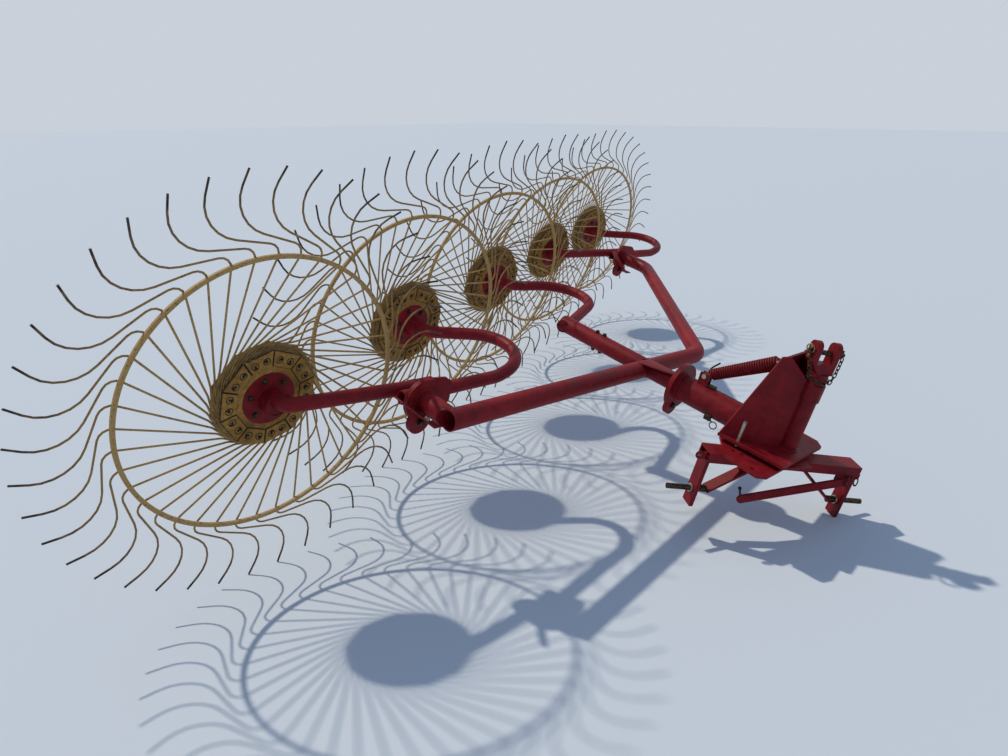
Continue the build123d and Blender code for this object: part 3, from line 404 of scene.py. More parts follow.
def add_wire(shape, corners, bends, radius, sides=8):
    """Round wire along straight runs and bends. A bend is a radius and a count of steps."""
    corners = [Vector(corner) for corner in corners]
    direction = (corners[1] - corners[0]).normalized()
    ring = bmesh.ops.create_circle(shape, cap_ends=True, segments=sides, radius=radius,
                                   matrix=facing(corners[0], direction))["verts"]
    edges = edges_of(ring)
    at = corners[0]
    for k in range(1, len(corners)):
        last = k == len(corners) - 1
        run_end = corners[k]
        if not last:
            after = (corners[k + 1] - corners[k]).normalized()
            angle = direction.angle(after)
            bend_radius, steps = bends[k - 1]
            run_end = corners[k] - direction * bend_radius * math.tan(angle / 2)
        moved = verts_of(bmesh.ops.extrude_edge_only(shape, edges=edges)["geom"])
        bmesh.ops.translate(shape, verts=moved, vec=run_end - at)
        edges = open_edges(moved)
        at = run_end
        if last:
            bmesh.ops.edgeloop_fill(shape, edges=edges)
            return
        axis = direction.cross(after).normalized()
        centre = run_end + axis.cross(direction) * bend_radius
        turned = bmesh.ops.spin(shape, geom=moved + edges, cent=centre, axis=axis, angle=angle,
                                steps=steps)["geom_last"]
        edges = open_edges(verts_of(turned))
        at = corners[k] + after * bend_radius * math.tan(angle / 2)
        direction = after


def repeat_round_axle(shape, geometry, count):
    """Copies of this geometry all round the axle, along Y."""
    for k in range(1, count):
        copy = bmesh.ops.duplicate(shape, geom=geometry)["geom"]
        bmesh.ops.rotate(shape, verts=verts_of(copy), cent=(0, 0, 0), matrix=Matrix.Rotation(
            2 * math.pi * k / count, 3, "Y"))


def whole(shape):
    """Everything in a shape, for an operator that takes geometry."""
    return shape.verts[:] + shape.edges[:] + shape.faces[:]


def polar(radius, angle, y=0.0):
    """Point in a wheel's plane, at an angle in degrees, counter-clockwise seen from the hitch."""
    return Vector((radius * math.cos(math.radians(angle)), y, radius * math.sin(math.radians(angle))))


# %% [markdown]
# Each wheel has forty sprung tines on a flat ring. A tine starts under the clamp's segments, winds
# along the rim towards the back plate, runs straight to its place on the ring, bends back in a tight
# elbow and sweeps out to its tip. Seven wires lie over each other in the bundle that this leaves round
# the clamp. A tine could be a curve with a round bevel. Here a small circle of edges is pushed along
# each straight run and spun round each bend, because that is how the wire itself was bent, and it
# gives clean rings of faces. One tine is made and copied round the axle.

# %% Tines and ring
TINES = 40
WIRE_RADIUS = 3.5
RING_RADIUS = 475
RING_SECTION = (14, 9)
SHANK_Y = 7.0
TIP_RADIUS = 738
WELD_RADIUS = 6
RING_STEPS = 120
# the attribute "reach" where it doesn't follow the distance: bare weld, and the ring's light ochre
WELD_REACH, RING_REACH = 1, 0.5
# corners of a tine: distance from the axle, degrees past the notch, distance along the axle
TINE_CORNERS = [(150, 96, 0), (163, 76, 8), (176, 56, 20), (189, 36, 27), (507, -1.4, SHANK_Y),
                (594, 24.3, SHANK_Y + 13.5), (TIP_RADIUS, 17.4, SHANK_Y + 5.5)]
# radius of each bend and the steps that it is drawn in
TINE_BENDS = [(60, 1), (60, 1), (45, 2), (33, 4), (112, 6)]


def tined_ring():
    """Ring with its tines in the wheel's own place, with the attribute that colours the wire."""
    shape = bmesh.new()
    add_wire(shape, [polar(*corner) for corner in TINE_CORNERS], TINE_BENDS, WIRE_RADIUS, 6)
    reach = shape.verts.layers.float.new("reach")
    for vert in shape.verts:
        vert[reach] = math.hypot(vert.co.x, vert.co.z) / TIP_RADIUS
    weld = bmesh.ops.create_icosphere(shape, subdivisions=1, radius=WELD_RADIUS, matrix=Matrix.Translation(
        polar(RING_RADIUS, 0, RING_SECTION[1] / 2 - 1)))["verts"]
    for vert in weld:
        vert[reach] = WELD_REACH
    repeat_round_axle(shape, whole(shape), TINES)
    wires = set(shape.verts)
    section = bmesh.ops.create_grid(shape, x_segments=1, y_segments=1, size=0.5, matrix=Matrix.Translation(
        (RING_RADIUS, 0, 0)) @ Matrix.Diagonal((*RING_SECTION, 1, 1)))["verts"]
    rim = edges_of(section)
    bmesh.ops.delete(shape, geom=each_once(f for v in section for f in v.link_faces), context="FACES_ONLY")
    bmesh.ops.spin(shape, geom=section + rim, cent=(0, 0, 0), axis=(0, 1, 0), angle=2 * math.pi,
                   steps=RING_STEPS, use_merge=True)
    for vert in shape.verts:
        if vert not in wires:
            vert[reach] = RING_REACH
    return shape


one_ring = tined_ring()
print("one wheel's wires:", len(one_ring.faces), "faces")

# %% [markdown]
# All wheels turn to the same phase: two tips stand level on the floor. The phase comes from the
# direction of the floor in the upright rake.

# %% Wires of the five wheels
up = (parked.inverted().to_3x3() @ Vector((0, 0, 1))).normalized()
straight_down = math.degrees(math.atan2(-up.z, -up.x))
phase = straight_down + 180 / TINES - TINE_CORNERS[-1][1]
wheel_places = [Matrix.Translation(hub) @ Matrix.Rotation(math.radians(-phase), 4, "Y")
                for hub in hub_places]
for k in range(WHEELS):
    mesh_piece(f"wires_{k + 1}", one_ring.copy(), f"wheel_{k + 1}", tine_wire,
               wheel_places[k], [f"wheel_{k + 1}_tines"], 50)
one_ring.free()

# %% [markdown]
# Two ten-sided plates grip the tines' roots. On the front plate lies a smaller one with ten flat
# segments round it, narrow gaps between them. Through two round holes in each you see the curled end
# of a wire, and painted shade fills the rest. Half a segment with one hole is bridged between its
# outline and a circle, mirrored, pushed out to its thickness and copied round the axle. A boolean
# would cut the holes too, but it leaves long thin faces.

# %% Clamp plates and segments
CLAMP_SIDES = 10
# flats are the sides' distances from the axle, fronts and backs are places along it, the rear larger
FRONT_FLATS = 150
BACK_FLATS = 176
FRONT_THICKNESS = 4
BACK_THICKNESS = 3
CLAMP_FRONT = -0.5
CLAMP_BACK = 34
CORE_RADIUS = 142
SEGMENT_BACK = -6
SEGMENT_THICKNESS = 4
SEGMENT_FLATS = (111, 160)
SEGMENT_GAP = 6
PLATE_EDGE = 0.8
# the smaller plate goes this far into the front plate, so that no slit is left
OVERLAP = 0.3
HOLE_PLACE = (20, 135)
HOLE_RADIUS = 13
CURL_RADIUS = 7.6
CURL_WIRE = 3
CURL_ARC = math.radians(260)
# degrees from each curl to the next: no two of the twenty point the same way
CURL_TURN = 137.5
CURL_REACH = 0.2
upright = Matrix.Rotation(math.pi / 2, 4, "X")
half_side = math.tan(math.pi / CLAMP_SIDES)


def segment(shape):
    """Flat segment with two holes, its middle straight up from the axle."""
    inner, outer = SEGMENT_FLATS
    end = SEGMENT_GAP / 2 / math.cos(math.pi / CLAMP_SIDES)
    outline = bmesh.ops.create_circle(shape, segments=4, radius=1)["verts"]
    for vert, corner in zip(outline, [(0, inner), (inner * half_side - end, inner),
                                      (outer * half_side - end, outer), (0, outer)]):
        vert.co = (corner[0], SEGMENT_BACK, corner[1])
    bmesh.ops.subdivide_edges(shape, edges=shape.edges[:], cuts=5)
    bmesh.ops.create_circle(shape, segments=24, radius=HOLE_RADIUS, matrix=Matrix.Translation(
        (HOLE_PLACE[0], SEGMENT_BACK, HOLE_PLACE[1])) @ upright)
    bmesh.ops.bridge_loops(shape, edges=shape.edges[:])
    bmesh.ops.mirror(shape, geom=whole(shape), axis="X", merge_dist=0.01)
    front = verts_of(bmesh.ops.extrude_face_region(shape, geom=shape.faces[:])["geom"])
    bmesh.ops.translate(shape, verts=front, vec=(0, -SEGMENT_THICKNESS, 0))
    return shape


def add_decagon(shape, flats, back, thickness):
    """Ten-sided plate across the axle, its rims broken."""
    corner = flats / math.cos(math.pi / CLAMP_SIDES)
    made = bmesh.ops.create_cone(shape, cap_ends=True, segments=CLAMP_SIDES, radius1=corner, radius2=corner,
                                 depth=thickness, matrix=Matrix.Translation(
                                     (0, back - thickness / 2, 0)) @ upright)["verts"]
    rims = [e for v in made for f in v.link_faces if len(f.verts) == CLAMP_SIDES for e in f.edges]
    break_edges(shape, rims, PLATE_EDGE)


def clamp():
    """Both clamp plates, the smaller plate in front and the ten segments."""
    shape = segment(bmesh.new())
    bmesh.ops.rotate(shape, verts=shape.verts, cent=(0, 0, 0), matrix=Matrix.Rotation(
        math.pi / CLAMP_SIDES, 3, "Y"))
    repeat_round_axle(shape, whole(shape), CLAMP_SIDES)
    add_decagon(shape, FRONT_FLATS, CLAMP_FRONT + FRONT_THICKNESS, FRONT_THICKNESS)
    add_decagon(shape, BACK_FLATS, CLAMP_BACK, BACK_THICKNESS)
    add_decagon(shape, SEGMENT_FLATS[0] - 2, CLAMP_FRONT, CLAMP_FRONT - SEGMENT_BACK + OVERLAP)
    return shape


def hole_places(y):
    """Centres of the twenty holes, a little turned either way from the middle of each side."""
    offset = math.degrees(math.atan2(*HOLE_PLACE))
    return [polar(math.hypot(*HOLE_PLACE), 360 / CLAMP_SIDES * side + way * offset, y)
            for side in range(CLAMP_SIDES) for way in (-1, 1)]


def curls():
    """The curled wire ends in the holes, each turned a little differently."""
    shape = bmesh.new()
    for k, centre in enumerate(hole_places(SEGMENT_BACK - 2.6)):
        outward = polar(1, CURL_TURN * k)
        made = bmesh.ops.create_circle(shape, cap_ends=True, segments=8, radius=CURL_WIRE, matrix=facing(
            centre + outward * CURL_RADIUS, Vector((0, 1, 0)).cross(outward)))["verts"]
        turned = bmesh.ops.spin(shape, geom=made + open_edges(made), cent=centre, axis=(0, 1, 0),
                                angle=CURL_ARC, steps=10)["geom_last"]
        bmesh.ops.edgeloop_fill(shape, edges=open_edges(verts_of(turned)))
    reach = shape.verts.layers.float.new("reach")
    for vert in shape.verts:
        vert[reach] = CURL_REACH
    return shape


def clamp_painted_shade():
    """Painted shade: dark plates behind the segments and in the core, seen through the holes, gaps and
    wires.
    """
    shape = bmesh.new()
    add_decagon(shape, SEGMENT_FLATS[1] + 2, SEGMENT_BACK + 3.5, 3)
    add_rod(shape, (0, CLAMP_FRONT + FRONT_THICKNESS, 0), (0, CLAMP_BACK - BACK_THICKNESS, 0), CORE_RADIUS,
            48, 0)
    return shape


# the clamp's near-black plates are painted shade in its holes, its gaps and its core
one_clamp, one_set_of_curls, one_clamp_shade = clamp(), curls(), clamp_painted_shade()
for k in range(WHEELS):
    body = f"wheel_{k + 1}"
    place = Matrix.Translation(hub_places[k])
    mesh_piece(f"clamp_{k + 1}", one_clamp.copy(), body, ochre_paint, place,
               [f"{body}_clamp"])
    mesh_piece(f"curls_{k + 1}", one_set_of_curls.copy(), body, tine_wire, place)
    mesh_piece(f"clamp_painted_shade_{k + 1}", one_clamp_shade.copy(), body, painted_shade_black, place)

# %% [markdown]
# Six bolts hold each clamp to the hub's red disc, with nuts behind the back plate, and a weld runs
# round the foot of the boss. A bolt head is a six-sided cone with broken edges on a round washer. A
# weld bead is a ring whose surface is pushed in and out by a noise, which gives the ripples that a
# hand-held torch leaves.

# %% Bolts and weld beads
WASHER_REACH = 0.72
RIPPLE_SHARE = 0.35
# without a seed, the clock would set the noise and the ripples would change from run to run
noise.seed_set(1)
HUB_FACE = CLAMP_FRONT - 8
HUB_BOLTS = 6
HUB_BOLT_RADIUS = 69
HUB_BOLT_TURN = -11
BOSS_RADIUS = 43
BOSS_FRONT = -60
BOSS_RIM_RADIUS = 36


def add_bolt(shape, place, outward, across=18, height=8, washer=2):
    """Hexagon head on a washer, standing out from a face."""
    place, outward = Vector(place), Vector(outward).normalized()
    foot = place + outward * washer
    add_rod(shape, place, foot, across * WASHER_REACH, 20, 0.4)
    add_rod(shape, foot, foot + outward * height, across / math.sqrt(3), 6, 1.0)


def ripple(verts, depth, size_mm=9):
    """Push vertices about by a smooth noise."""
    for vert in verts:
        vert.co += noise.noise_vector(vert.co / size_mm) * depth


def add_bead(shape, centre, axis, radius, size=4, steps=56):
    """Ring of weld round a bar."""
    made = add_ring(shape, centre, axis, radius, size, steps, 8)
    ripple(made, size * RIPPLE_SHARE)


def add_bead_line(shape, start, end, size=4):
    """Straight weld between two places."""
    start, end = Vector(start), Vector(end)
    steps = max(2, round((end - start).length / 7))
    made = add_rod(shape, start, end, size, 8, 0)
    along = [e for e in edges_of(made)
             if abs((e.verts[1].co - e.verts[0].co).normalized().dot((end - start).normalized())) > 0.99]
    cut = bmesh.ops.subdivide_edges(shape, edges=along, cuts=steps, use_grid_fill=False)["geom_inner"]
    ripple(verts_of(cut), size * RIPPLE_SHARE)


def hub_bolts():
    shape = bmesh.new()
    for k in range(HUB_BOLTS):
        angle = 360 / HUB_BOLTS * k + HUB_BOLT_TURN
        add_bolt(shape, polar(HUB_BOLT_RADIUS, angle, HUB_FACE), (0, -1, 0), 16, 6, 1.5)
        add_bolt(shape, polar(HUB_BOLT_RADIUS, angle, CLAMP_BACK), (0, 1, 0), 16, 9, 2)
    return shape


def hub_weld():
    shape = bmesh.new()
    add_bead(shape, (0, HUB_FACE, 0), (0, 1, 0), BOSS_RADIUS, 3.5)
    return shape


def boss_rim():
    """Raised rim on the front of the boss."""
    shape = bmesh.new()
    add_ring(shape, (0, BOSS_FRONT, 0), (0, 1, 0), BOSS_RIM_RADIUS, 2.6, 48)
    return shape


for k in range(WHEELS):
    place = Matrix.Translation(hub_places[k])
    body = f"wheel_{k + 1}"
    mesh_piece(f"hub_bolts_{k + 1}", hub_bolts(), body, dark_steel_and_hole_shade, place)
    mesh_piece(f"hub_weld_{k + 1}", hub_weld(), body, red_enamel, place)
    mesh_piece(f"boss_rim_{k + 1}", boss_rim(), body, red_enamel, place)

# %% [markdown]
# The float spring carries part of the row's weight. It is wound from round wire, a little wider
# towards the mast, and a plug with an eye is screwed into each end. A screw modifier could wind it;
# spin with a push along the axis at every step does the same in one call. The turns are widened after.

# %% Float spring
BOOM_X = 1600
SPRING_FOOT = Vector((BOOM_X, -670, 129))
SPRING_HEAD = Vector((BOOM_X, -934, 315))
SPRING_WIRE = 4.3
SPRING_TURNS = 27
STEPS_IN_A_TURN = 24
# at the foot on the boom and at the head in the mast: from the eye to the plug, and the turns' radius
SPRING_HOOKS = (25, 5)
SPRING_MEANS = (20.5, 26)
EYE_RADIUS, EYE_HALF_WIDTH = 13, 6
SHANK_RADIUS = 6
PLUG_LENGTH = 16


def float_spring():
    shape = bmesh.new()
    along = (SPRING_HEAD - SPRING_FOOT).normalized()
    side = Vector((1, 0, 0))
    low = SPRING_FOOT + along * (SPRING_HOOKS[0] + SPRING_WIRE)
    length = (SPRING_HEAD - SPRING_FOOT).length - sum(SPRING_HOOKS) - 2 * SPRING_WIRE
    made = bmesh.ops.create_circle(shape, cap_ends=True, segments=10, radius=SPRING_WIRE, matrix=facing(
        low + side * SPRING_MEANS[0], along.cross(side)))["verts"]
    steps = SPRING_TURNS * STEPS_IN_A_TURN
    last = bmesh.ops.spin(shape, geom=made + open_edges(made), cent=low, axis=along, steps=steps,
                          dvec=along * length / steps, angle=2 * math.pi * SPRING_TURNS)["geom_last"]
    bmesh.ops.edgeloop_fill(shape, edges=open_edges(verts_of(last)))
    for vert in shape.verts:
        rise = (vert.co - low).dot(along)
        away = vert.co - low - along * rise
        grown = away.length + (SPRING_MEANS[1] - SPRING_MEANS[0]) * min(max(rise / length, 0), 1)
        vert.co = low + along * rise + away.normalized() * grown
    for end, inwards, hook, mean in zip((SPRING_FOOT, SPRING_HEAD), (along, -along),
                                        SPRING_HOOKS, SPRING_MEANS):
        add_rod(shape, end - side * EYE_HALF_WIDTH, end + side * EYE_HALF_WIDTH, EYE_RADIUS, 28, 1.5)
        add_rod(shape, end, end + inwards * hook, SHANK_RADIUS, 16, 0)
        plug_radius = mean - SPRING_WIRE - 0.5
        add_rod(shape, end + inwards * hook, end + inwards * (hook + PLUG_LENGTH), plug_radius, 28, 1)
    return shape


mesh_piece("wound_spring", float_spring(), "swing_frame", red_enamel,
           stands_for=["float_spring"])

# %% [markdown]
# Where tubes and plates meet, the frame is welded. Two tubes of one size that cross square meet along
# two ellipses at 45 degrees, so a round bead stretched by the square root of two follows that seam.

# %% Welds of the frame
POST = Vector((BOOM_X, -1084, 0))
BEAM_RISE = 35
TUBE_RADIUS = 38
# rear and front of the pair of round flanges
FLANGE_FACES = (-564.5, -585.5)
FLANGE_WELD_RADIUS = 58
# a rocker's pivot, from the hub of its first wheel, at the face of its housing
PIVOT = Vector((436, -257.5, BEAM_RISE))
MAST_SPREAD = math.radians(42.7)
WEB_LENGTH = 266
FAR_PAIR = 3


def crossing_bead(shape, centre, radius, way):
    """Bead along one ellipse of a square crossing of two equal tubes."""
    made = add_ring(shape, (0, 0, 0), (1, way, 0), radius, 4, 72)
    level = Vector((1, -way, 0)).normalized()
    for vert in made:
        vert.co += level * vert.co.dot(level) * (math.sqrt(2) - 1)
        vert.co += Vector(centre)
    ripple(made, 1.4)


def frame_welds():
    shape = bmesh.new()
    for way in (1, -1):
        crossing_bead(shape, (BOOM_X, -400, BEAM_RISE), TUBE_RADIUS, way)
    add_bead(shape, (BOOM_X, -565, BEAM_RISE), (0, 1, 0), TUBE_RADIUS + 1, 4)
    add_bead(shape, (BOOM_X, FLANGE_FACES[1], BEAM_RISE), (0, 1, 0), FLANGE_WELD_RADIUS, 5, 72)
    add_bead(shape, (1562, 66, BEAM_RISE), (1, 0.3, 0), 27, 4)
    add_bead(shape, POST + Vector((0, 0, 21)), (0, 0, 1), 34, 4.5)
    add_bead(shape, POST + Vector((0, 0, 234)), (0, 0, 1), 34, 3.2)
    for hub in (Vector(), hub_places[FAR_PAIR]):
        add_bead(shape, hub + PIVOT, (0, 1, 0), TUBE_RADIUS + 1, 4)
    for way in (-1, 1):
        out = Vector((way * math.sin(MAST_SPREAD), math.cos(MAST_SPREAD), 0))
        across = Vector((out.y, -out.x, 0)) * 5
        for face in (-1, 1):
            add_bead_line(shape, POST + out * 36 + across * face + Vector((0, 0, 22)),
                          POST + out * WEB_LENGTH + across * face + Vector((0, 0, 22)), 3.2)
    return shape


def rocker_welds(first_hub):
    """Runs of weld in the valley between the two arms that lie on a rocker plate."""
    shape = bmesh.new()
    for height in (BEAM_RISE + 11, BEAM_RISE - 11):
        add_bead_line(shape, first_hub + Vector((440, -189.5, height)),
                      first_hub + Vector((534, -189.5, height)), 5)
    for height in (BEAM_RISE + 22, BEAM_RISE - 22):
        add_bead_line(shape, first_hub + Vector((400, -236, height)),
                      first_hub + Vector((552, -236, height)), 4)
    return shape


mesh_piece("frame_welds", frame_welds(), "swing_frame", red_enamel)
mesh_piece("near_rocker_welds", rocker_welds(hub_places[0]), "near_rocker", red_enamel)
mesh_piece("far_rocker_welds", rocker_welds(hub_places[FAR_PAIR]), "far_rocker", red_enamel)

# %% [markdown]
# The bolts of the frame are ordinary hexagon bolts. One passes through the flange's lobe, two pass
# upright through the beam, and each pivot has its stop bolt and a short bolt on the strap.

# %% Bolts of the frame
def frame_bolts():
    shape = bmesh.new()
    lobe = Vector((BOOM_X - 30, 0, BEAM_RISE - 83))
    add_bolt(shape, lobe + Vector((0, FLANGE_FACES[1], 0)), (0, -1, 0), 22, 10)
    add_bolt(shape, lobe + Vector((0, FLANGE_FACES[0], 0)), (0, 1, 0), 22, 12)
    for x, y in ((BOOM_X + 4, -142), (BOOM_X, -104)):
        add_bolt(shape, (x, y, BEAM_RISE + TUBE_RADIUS - 0.5), (0, 0, 1), 17, 9, 1.5)
        add_bolt(shape, (x, y, BEAM_RISE - TUBE_RADIUS + 0.5), (0, 0, -1), 17, 10, 1.5)
    for hub in (hub_places[0], hub_places[FAR_PAIR]):
        add_bolt(shape, hub + PIVOT + Vector((0, 0.5, -85)), (0, -1, 0), 20, 12)
    return shape


def strap_bolts():
    shape = bmesh.new()
    for hub in (hub_places[0], hub_places[FAR_PAIR]):
        add_bolt(shape, hub + Vector((429, -288, -22)), (0.62, 0, 0.78), 19, 11, 2)
    return shape


mesh_piece("frame_bolts", frame_bolts(), "swing_frame", dark_steel_and_hole_shade)
mesh_piece("strap_bolts", strap_bolts(), "swing_frame", bright_steel)

# %% [markdown]
# A flat gusset lies over the crossing of beam and tube and runs to the flange. Its outline is one
# face, pushed out to its thickness, with broken edges.

# %% Gusset over the crossing
def flat_plate(corners, thickness, edge=1.2):
    """Plate from the corners of its lower face."""
    shape = bmesh.new()
    face = shape.faces.new([shape.verts.new(corner) for corner in corners])
    top = verts_of(bmesh.ops.extrude_face_region(shape, geom=[face])["geom"])
    bmesh.ops.translate(shape, verts=top, vec=(0, 0, thickness))
    break_edges(shape, shape.edges[:], edge)
    return shape


gusset = flat_plate([(1515, -396, 68), (1606, -396, 72), (1606, -564, 72), (1582, -564, 70)], 6)
mesh_piece("crossing_gusset", gusset, "swing_frame", red_enamel)

# %% [markdown]
# Small fittings hang on the boom: a block that takes a ring pin, a flat key behind the spring's foot
# and a loose rod in its bracket.

# %% Fittings on the boom
def boom_fittings():
    shape = bmesh.new()
    add_block(shape, (1557, -756, -9), (15, 30, 30), 2)
    add_ring(shape, (1556, -790, -33), (1, 0.15, 0), 15, 2.2, 32)
    add_rod(shape, (1557, -770, -18), (1556, -781, -22), 3, 10)
    add_block(shape, (1600, -705, 97), (30, 46, 9), 1.5)
    add_wire(shape, [(1624, -662, 120), (1624, -669, 160), (1612, -702, 200)], [(30, 4)], 3.6, 10)
    return shape


mesh_piece("boom_fittings", boom_fittings(), "swing_frame", dark_steel_and_hole_shade)

# %% [markdown]
# The hitch is laid out along its crossbar and stands turned against the boom, so its small fittings
# get a place of their own: the post at the origin and the crossbar along X. A lug with an eye is
# welded to the left end. At the right end a short bar carries a wire ring, and two dark discs on the
# crossbar's top are painted shade that stands in for two holes. Collars keep the lower link pins in
# their arms, a dark washer lies round the stay's pin, and a dark ring paints the shade in the seam at
# the mast's foot.

# %% Fittings on the crossbar
HITCH_TURN = math.radians(-33.7)
hitch = Matrix.Translation(POST) @ Matrix.Rotation(HITCH_TURN, 4, "Z")
CROSSBAR_END = 341.5
CROSSBAR_TOP = -18
LINK_PIN_Z = -196.8
STAY_PIN = Vector((285, 0, -78.4))
STAY_FRONT = -56.3


def crossbar_lugs():
    shape = bmesh.new()
    add_block(shape, (-CROSSBAR_END - 9, -20, -38), (18, 10, 28), 1.5)
    add_ring(shape, (-CROSSBAR_END - 30, -20, -38), (0, 1, 0), 12, 5.5, 32, 10)
    add_block(shape, (CROSSBAR_END + 7, -18, -64), (13, 30, 24), 2)
    return shape


def crossbar_fittings():
    """Bolt, ring and ring pin at the right end, and two dark discs of painted shade for holes in the
    crossbar's top.
    """
    shape = bmesh.new()
    add_bolt(shape, (CROSSBAR_END + 0.3, 8, -88), (1, 0, 0), 22, 9, 3)
    ring = add_ring(shape, (0, 0, 0), (1, 0, 0), 10, 2.4, 32)
    for vert in ring:
        vert.co.z *= 1.7
        vert.co += Vector((CROSSBAR_END + 15, -24, -92))
    add_rod(shape, (CROSSBAR_END - 4, -24, -73), (CROSSBAR_END + 18, -24, -73), 4, 12)
    # two thin dark discs: painted shade inside two holes in the crossbar's top
    for x, y in ((190, 2), (216, -3)):
        add_rod(shape, (x, y, CROSSBAR_TOP - 0.4), (x, y, CROSSBAR_TOP + 0.4), 5.5, 20, 0)
    return shape


def stay_end_pin():
    shape = bmesh.new()
    add_rod(shape, (-152, -51, -194), (-171, -51, -152), 4.5, 14)
    add_rod(shape, (-170, -51, -154), (-173, -51, -147), 7, 14)
    return shape


def stay_washer():
    shape = bmesh.new()
    add_rod(shape, STAY_PIN + Vector((0, STAY_FRONT, 0)), STAY_PIN + Vector((0, STAY_FRONT - 2.5, 0)), 19,
            28, 0.6)
    return shape


def sleeve_foot_shade():
    """Painted shade: a dark ring in the seam round the foot of the mast's tube."""
    shape = bmesh.new()
    add_ring(shape, (0, 0, 21), (0, 0, 1), 33.5, 1.8, 48)
    return shape


def pin_collars():
    shape = bmesh.new()
    for way in (-1, 1):
        for near, far in ((-26, -17), (0.5, 8)):
            add_rod(shape, (way * (CROSSBAR_END + near), 0, LINK_PIN_Z),
                    (way * (CROSSBAR_END + far), 0, LINK_PIN_Z), 18, 24, 1.2)
    return shape


mesh_piece("stay_washer", stay_washer(), "headstock", dark_steel_and_hole_shade, hitch)
# a near-black ring that paints the shade in the seam at the foot of the mast's tube
mesh_piece("sleeve_foot_shade", sleeve_foot_shade(), "swing_frame", painted_shade_black,
           Matrix.Translation(POST))
mesh_piece("pin_collars", pin_collars(), "headstock", bright_steel, hitch)
mesh_piece("crossbar_lugs", crossbar_lugs(), "headstock", red_enamel, hitch)
mesh_piece("crossbar_fittings", crossbar_fittings(), "headstock", dark_steel_and_hole_shade, hitch)
mesh_piece("stay_end_pin", stay_end_pin(), "stay", dark_steel_and_hole_shade, hitch)

# %% [markdown]
# The top link's pin has a knob on the right and a lynch pin through its left end. A light chain hangs
# from the knob to a loop of chain round the neck, so that the pin isn't lost. A chain is links, not a
# cord: each link is a ring stretched along its middle, and every second one stands at a right angle.

# %% Top pin, lynch pin and chain
TOP_PIN_Z = 425
LINK_LENGTH = 25
LINK_WIRE = 2.1
LINK_HALF_WIDTH = 5.6
NECK_RADIUS = 38
NECK_Z = 322


def add_link(shape, start, end, quarter_turned):
    """One chain link between two places, stretched from a ring."""
    made = add_ring(shape, (0, 0, 0), (1, 0, 0), LINK_HALF_WIDTH, LINK_WIRE, 16, 6)
    middle = (start + end) / 2
    stretch = ((end - start).length / 2 + LINK_WIRE) - LINK_HALF_WIDTH
    for vert in made:
        if abs(vert.co.z) > 0.5:
            vert.co.z += math.copysign(max(stretch, 1), vert.co.z)
    spun = Matrix.Rotation(math.radians(45 + (90 if quarter_turned else 0)), 4, "Z")
    bmesh.ops.transform(shape, matrix=facing(middle, end - start) @ spun, verts=made)


def add_chain(shape, corners):
    """Links along a line of places, at one even spacing."""
    corners = [Vector(corner) for corner in corners]
    lengths = [(b - a).length for a, b in zip(corners, corners[1:])]
    count = max(2, round(sum(lengths) / (LINK_LENGTH - 4 * LINK_WIRE)))
    places = []
    for k in range(count + 1):
        rest = sum(lengths) * k / count
        for a, b, length in zip(corners, corners[1:], lengths):
            if rest <= length + 1e-6:
                places.append(a.lerp(b, rest / length))
                break
            rest -= length
    for k, (a, b) in enumerate(zip(places, places[1:])):
        add_link(shape, a, b, k % 2)


def top_chain():
    shape = bmesh.new()
    add_chain(shape, [(54, -14, 418), (45, -24, 398), (42, -27, 363), (36, -30, 335), (24, -34, 318)])
    add_chain(shape, [(-90, -20, 408), (-86, -30, 384), (-72, -32, 352), (-52, -34, 326), (-30, -32, 318)])
    turns = [math.radians(angle) for angle in range(-130, 240, 24)]
    add_chain(shape, [(NECK_RADIUS * math.cos(turn), NECK_RADIUS * math.sin(turn),
                       NECK_Z + 5 * math.sin(turn)) for turn in turns])
    return shape


def pin_knob():
    shape = bmesh.new()
    add_rod(shape, (47.8, 0, TOP_PIN_Z), (53, 0, TOP_PIN_Z), 11, 6, 1)
    add_rod(shape, (53, 0, TOP_PIN_Z), (66, 0, TOP_PIN_Z), 8, 20, 2)
    add_rod(shape, (58, 0, TOP_PIN_Z - 17), (58, 0, TOP_PIN_Z + 18), 3.4, 12, 1)
    return shape


def lynch_pin():
    shape = bmesh.new()
    add_rod(shape, (-81, 0, TOP_PIN_Z - 23), (-81, 0, TOP_PIN_Z + 25), 4.4, 14, 1.5)
    add_ring(shape, (-86, -3, 436), (1, 0.35, 0.2), 16, 2.3, 32)
    return shape


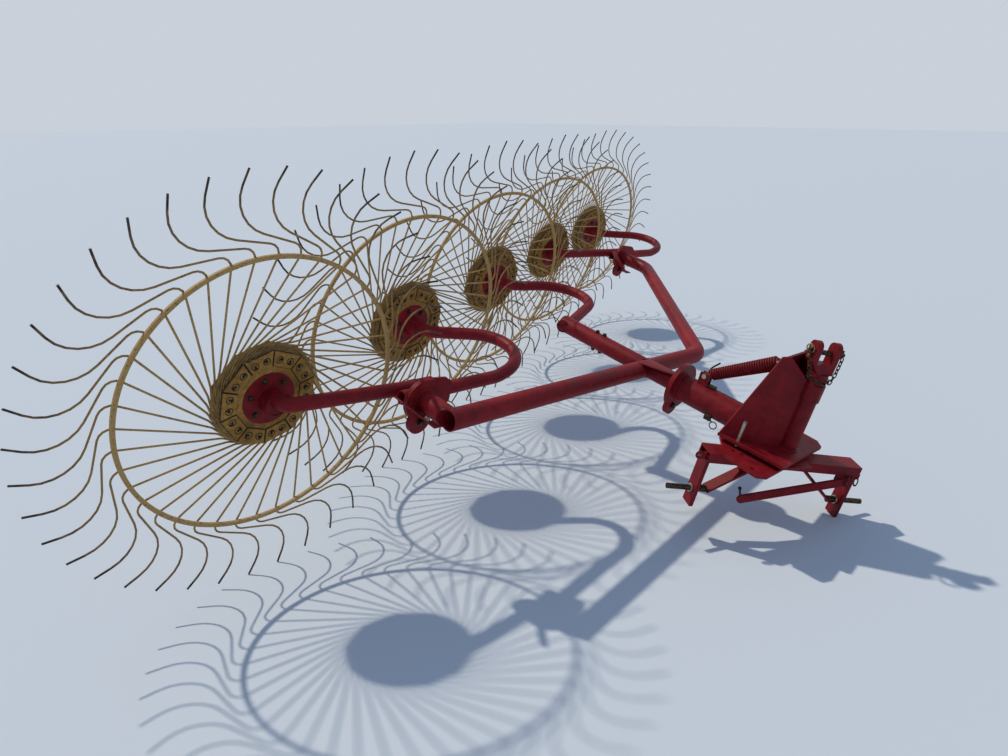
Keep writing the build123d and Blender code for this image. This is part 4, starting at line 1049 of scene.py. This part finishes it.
mesh_piece("top_chain", top_chain(), "headstock", dark_steel_and_hole_shade, hitch)
mesh_piece("pin_knob", pin_knob(), "headstock", dark_steel_and_hole_shade, hitch)
mesh_piece("lynch_pin", lynch_pin(), "headstock", brass_plate, hitch)

# %% [markdown]
# The floor is plain and pale, and the light is that of a clear winter day. The sun stands high behind
# the row, as the shadows on the ground say, and an even blue sky keeps the shaded sides readable. The
# sky that the camera sees is as pale as the floor, and so is the one that gloss mirrors.

# %% Floor and light
floor_mesh = bpy.data.meshes.new("floor")
shape = bmesh.new()
bmesh.ops.create_grid(shape, x_segments=1, y_segments=1, size=60)
shape.to_mesh(floor_mesh)
shape.free()
floor = bpy.data.objects.new("floor", floor_mesh)
bpy.context.scene.collection.objects.link(floor)
floor_paint, tree, shader = new_material("pale floor")
shader.inputs["Base Color"].default_value = linear("#CFD9E0")
shader.inputs["Roughness"].default_value = 0.95
floor_mesh.materials.append(floor_paint)

world = bpy.data.worlds.new("pale sky")
bpy.context.scene.world = world
world.use_nodes = True
sky_tree = world.node_tree
light_path = add_node(sky_tree, "ShaderNodeLightPath")
seen = calculate(sky_tree, "MAXIMUM", light_path.outputs["Is Camera Ray"], calculate(
    sky_tree, "MAXIMUM", light_path.outputs["Is Glossy Ray"], light_path.outputs["Is Transmission Ray"]))
backdrop = add_node(sky_tree, "ShaderNodeBackground", {"Color": linear("#C9D0D9"), "Strength": 1.0})
sky = sky_tree.nodes["Background"]
sky.inputs["Color"].default_value = linear("#BCD1F5")
sky.inputs["Strength"].default_value = 0.5
mixed = add_node(sky_tree, "ShaderNodeMixShader", {0: seen, 1: sky.outputs[0], 2: backdrop.outputs[0]})
sky_tree.links.new(mixed.outputs[0], sky_tree.nodes["World Output"].inputs["Surface"])

sun_data = bpy.data.lights.new("sun side key", "SUN")
sun_data.energy = 2.3
sun_data.angle = math.radians(1.5)
sun_data.color = linear("#FFF4E4")[:3]
sun = bpy.data.objects.new("sun side key", sun_data)
SUN_FROM = Vector((-0.10, 0.62, 0.78))
sun.rotation_euler = SUN_FROM.to_track_quat("Z", "Y").to_euler()
bpy.context.scene.collection.objects.link(sun)
print("light from", tuple(round(c, 2) for c in SUN_FROM.normalized()))
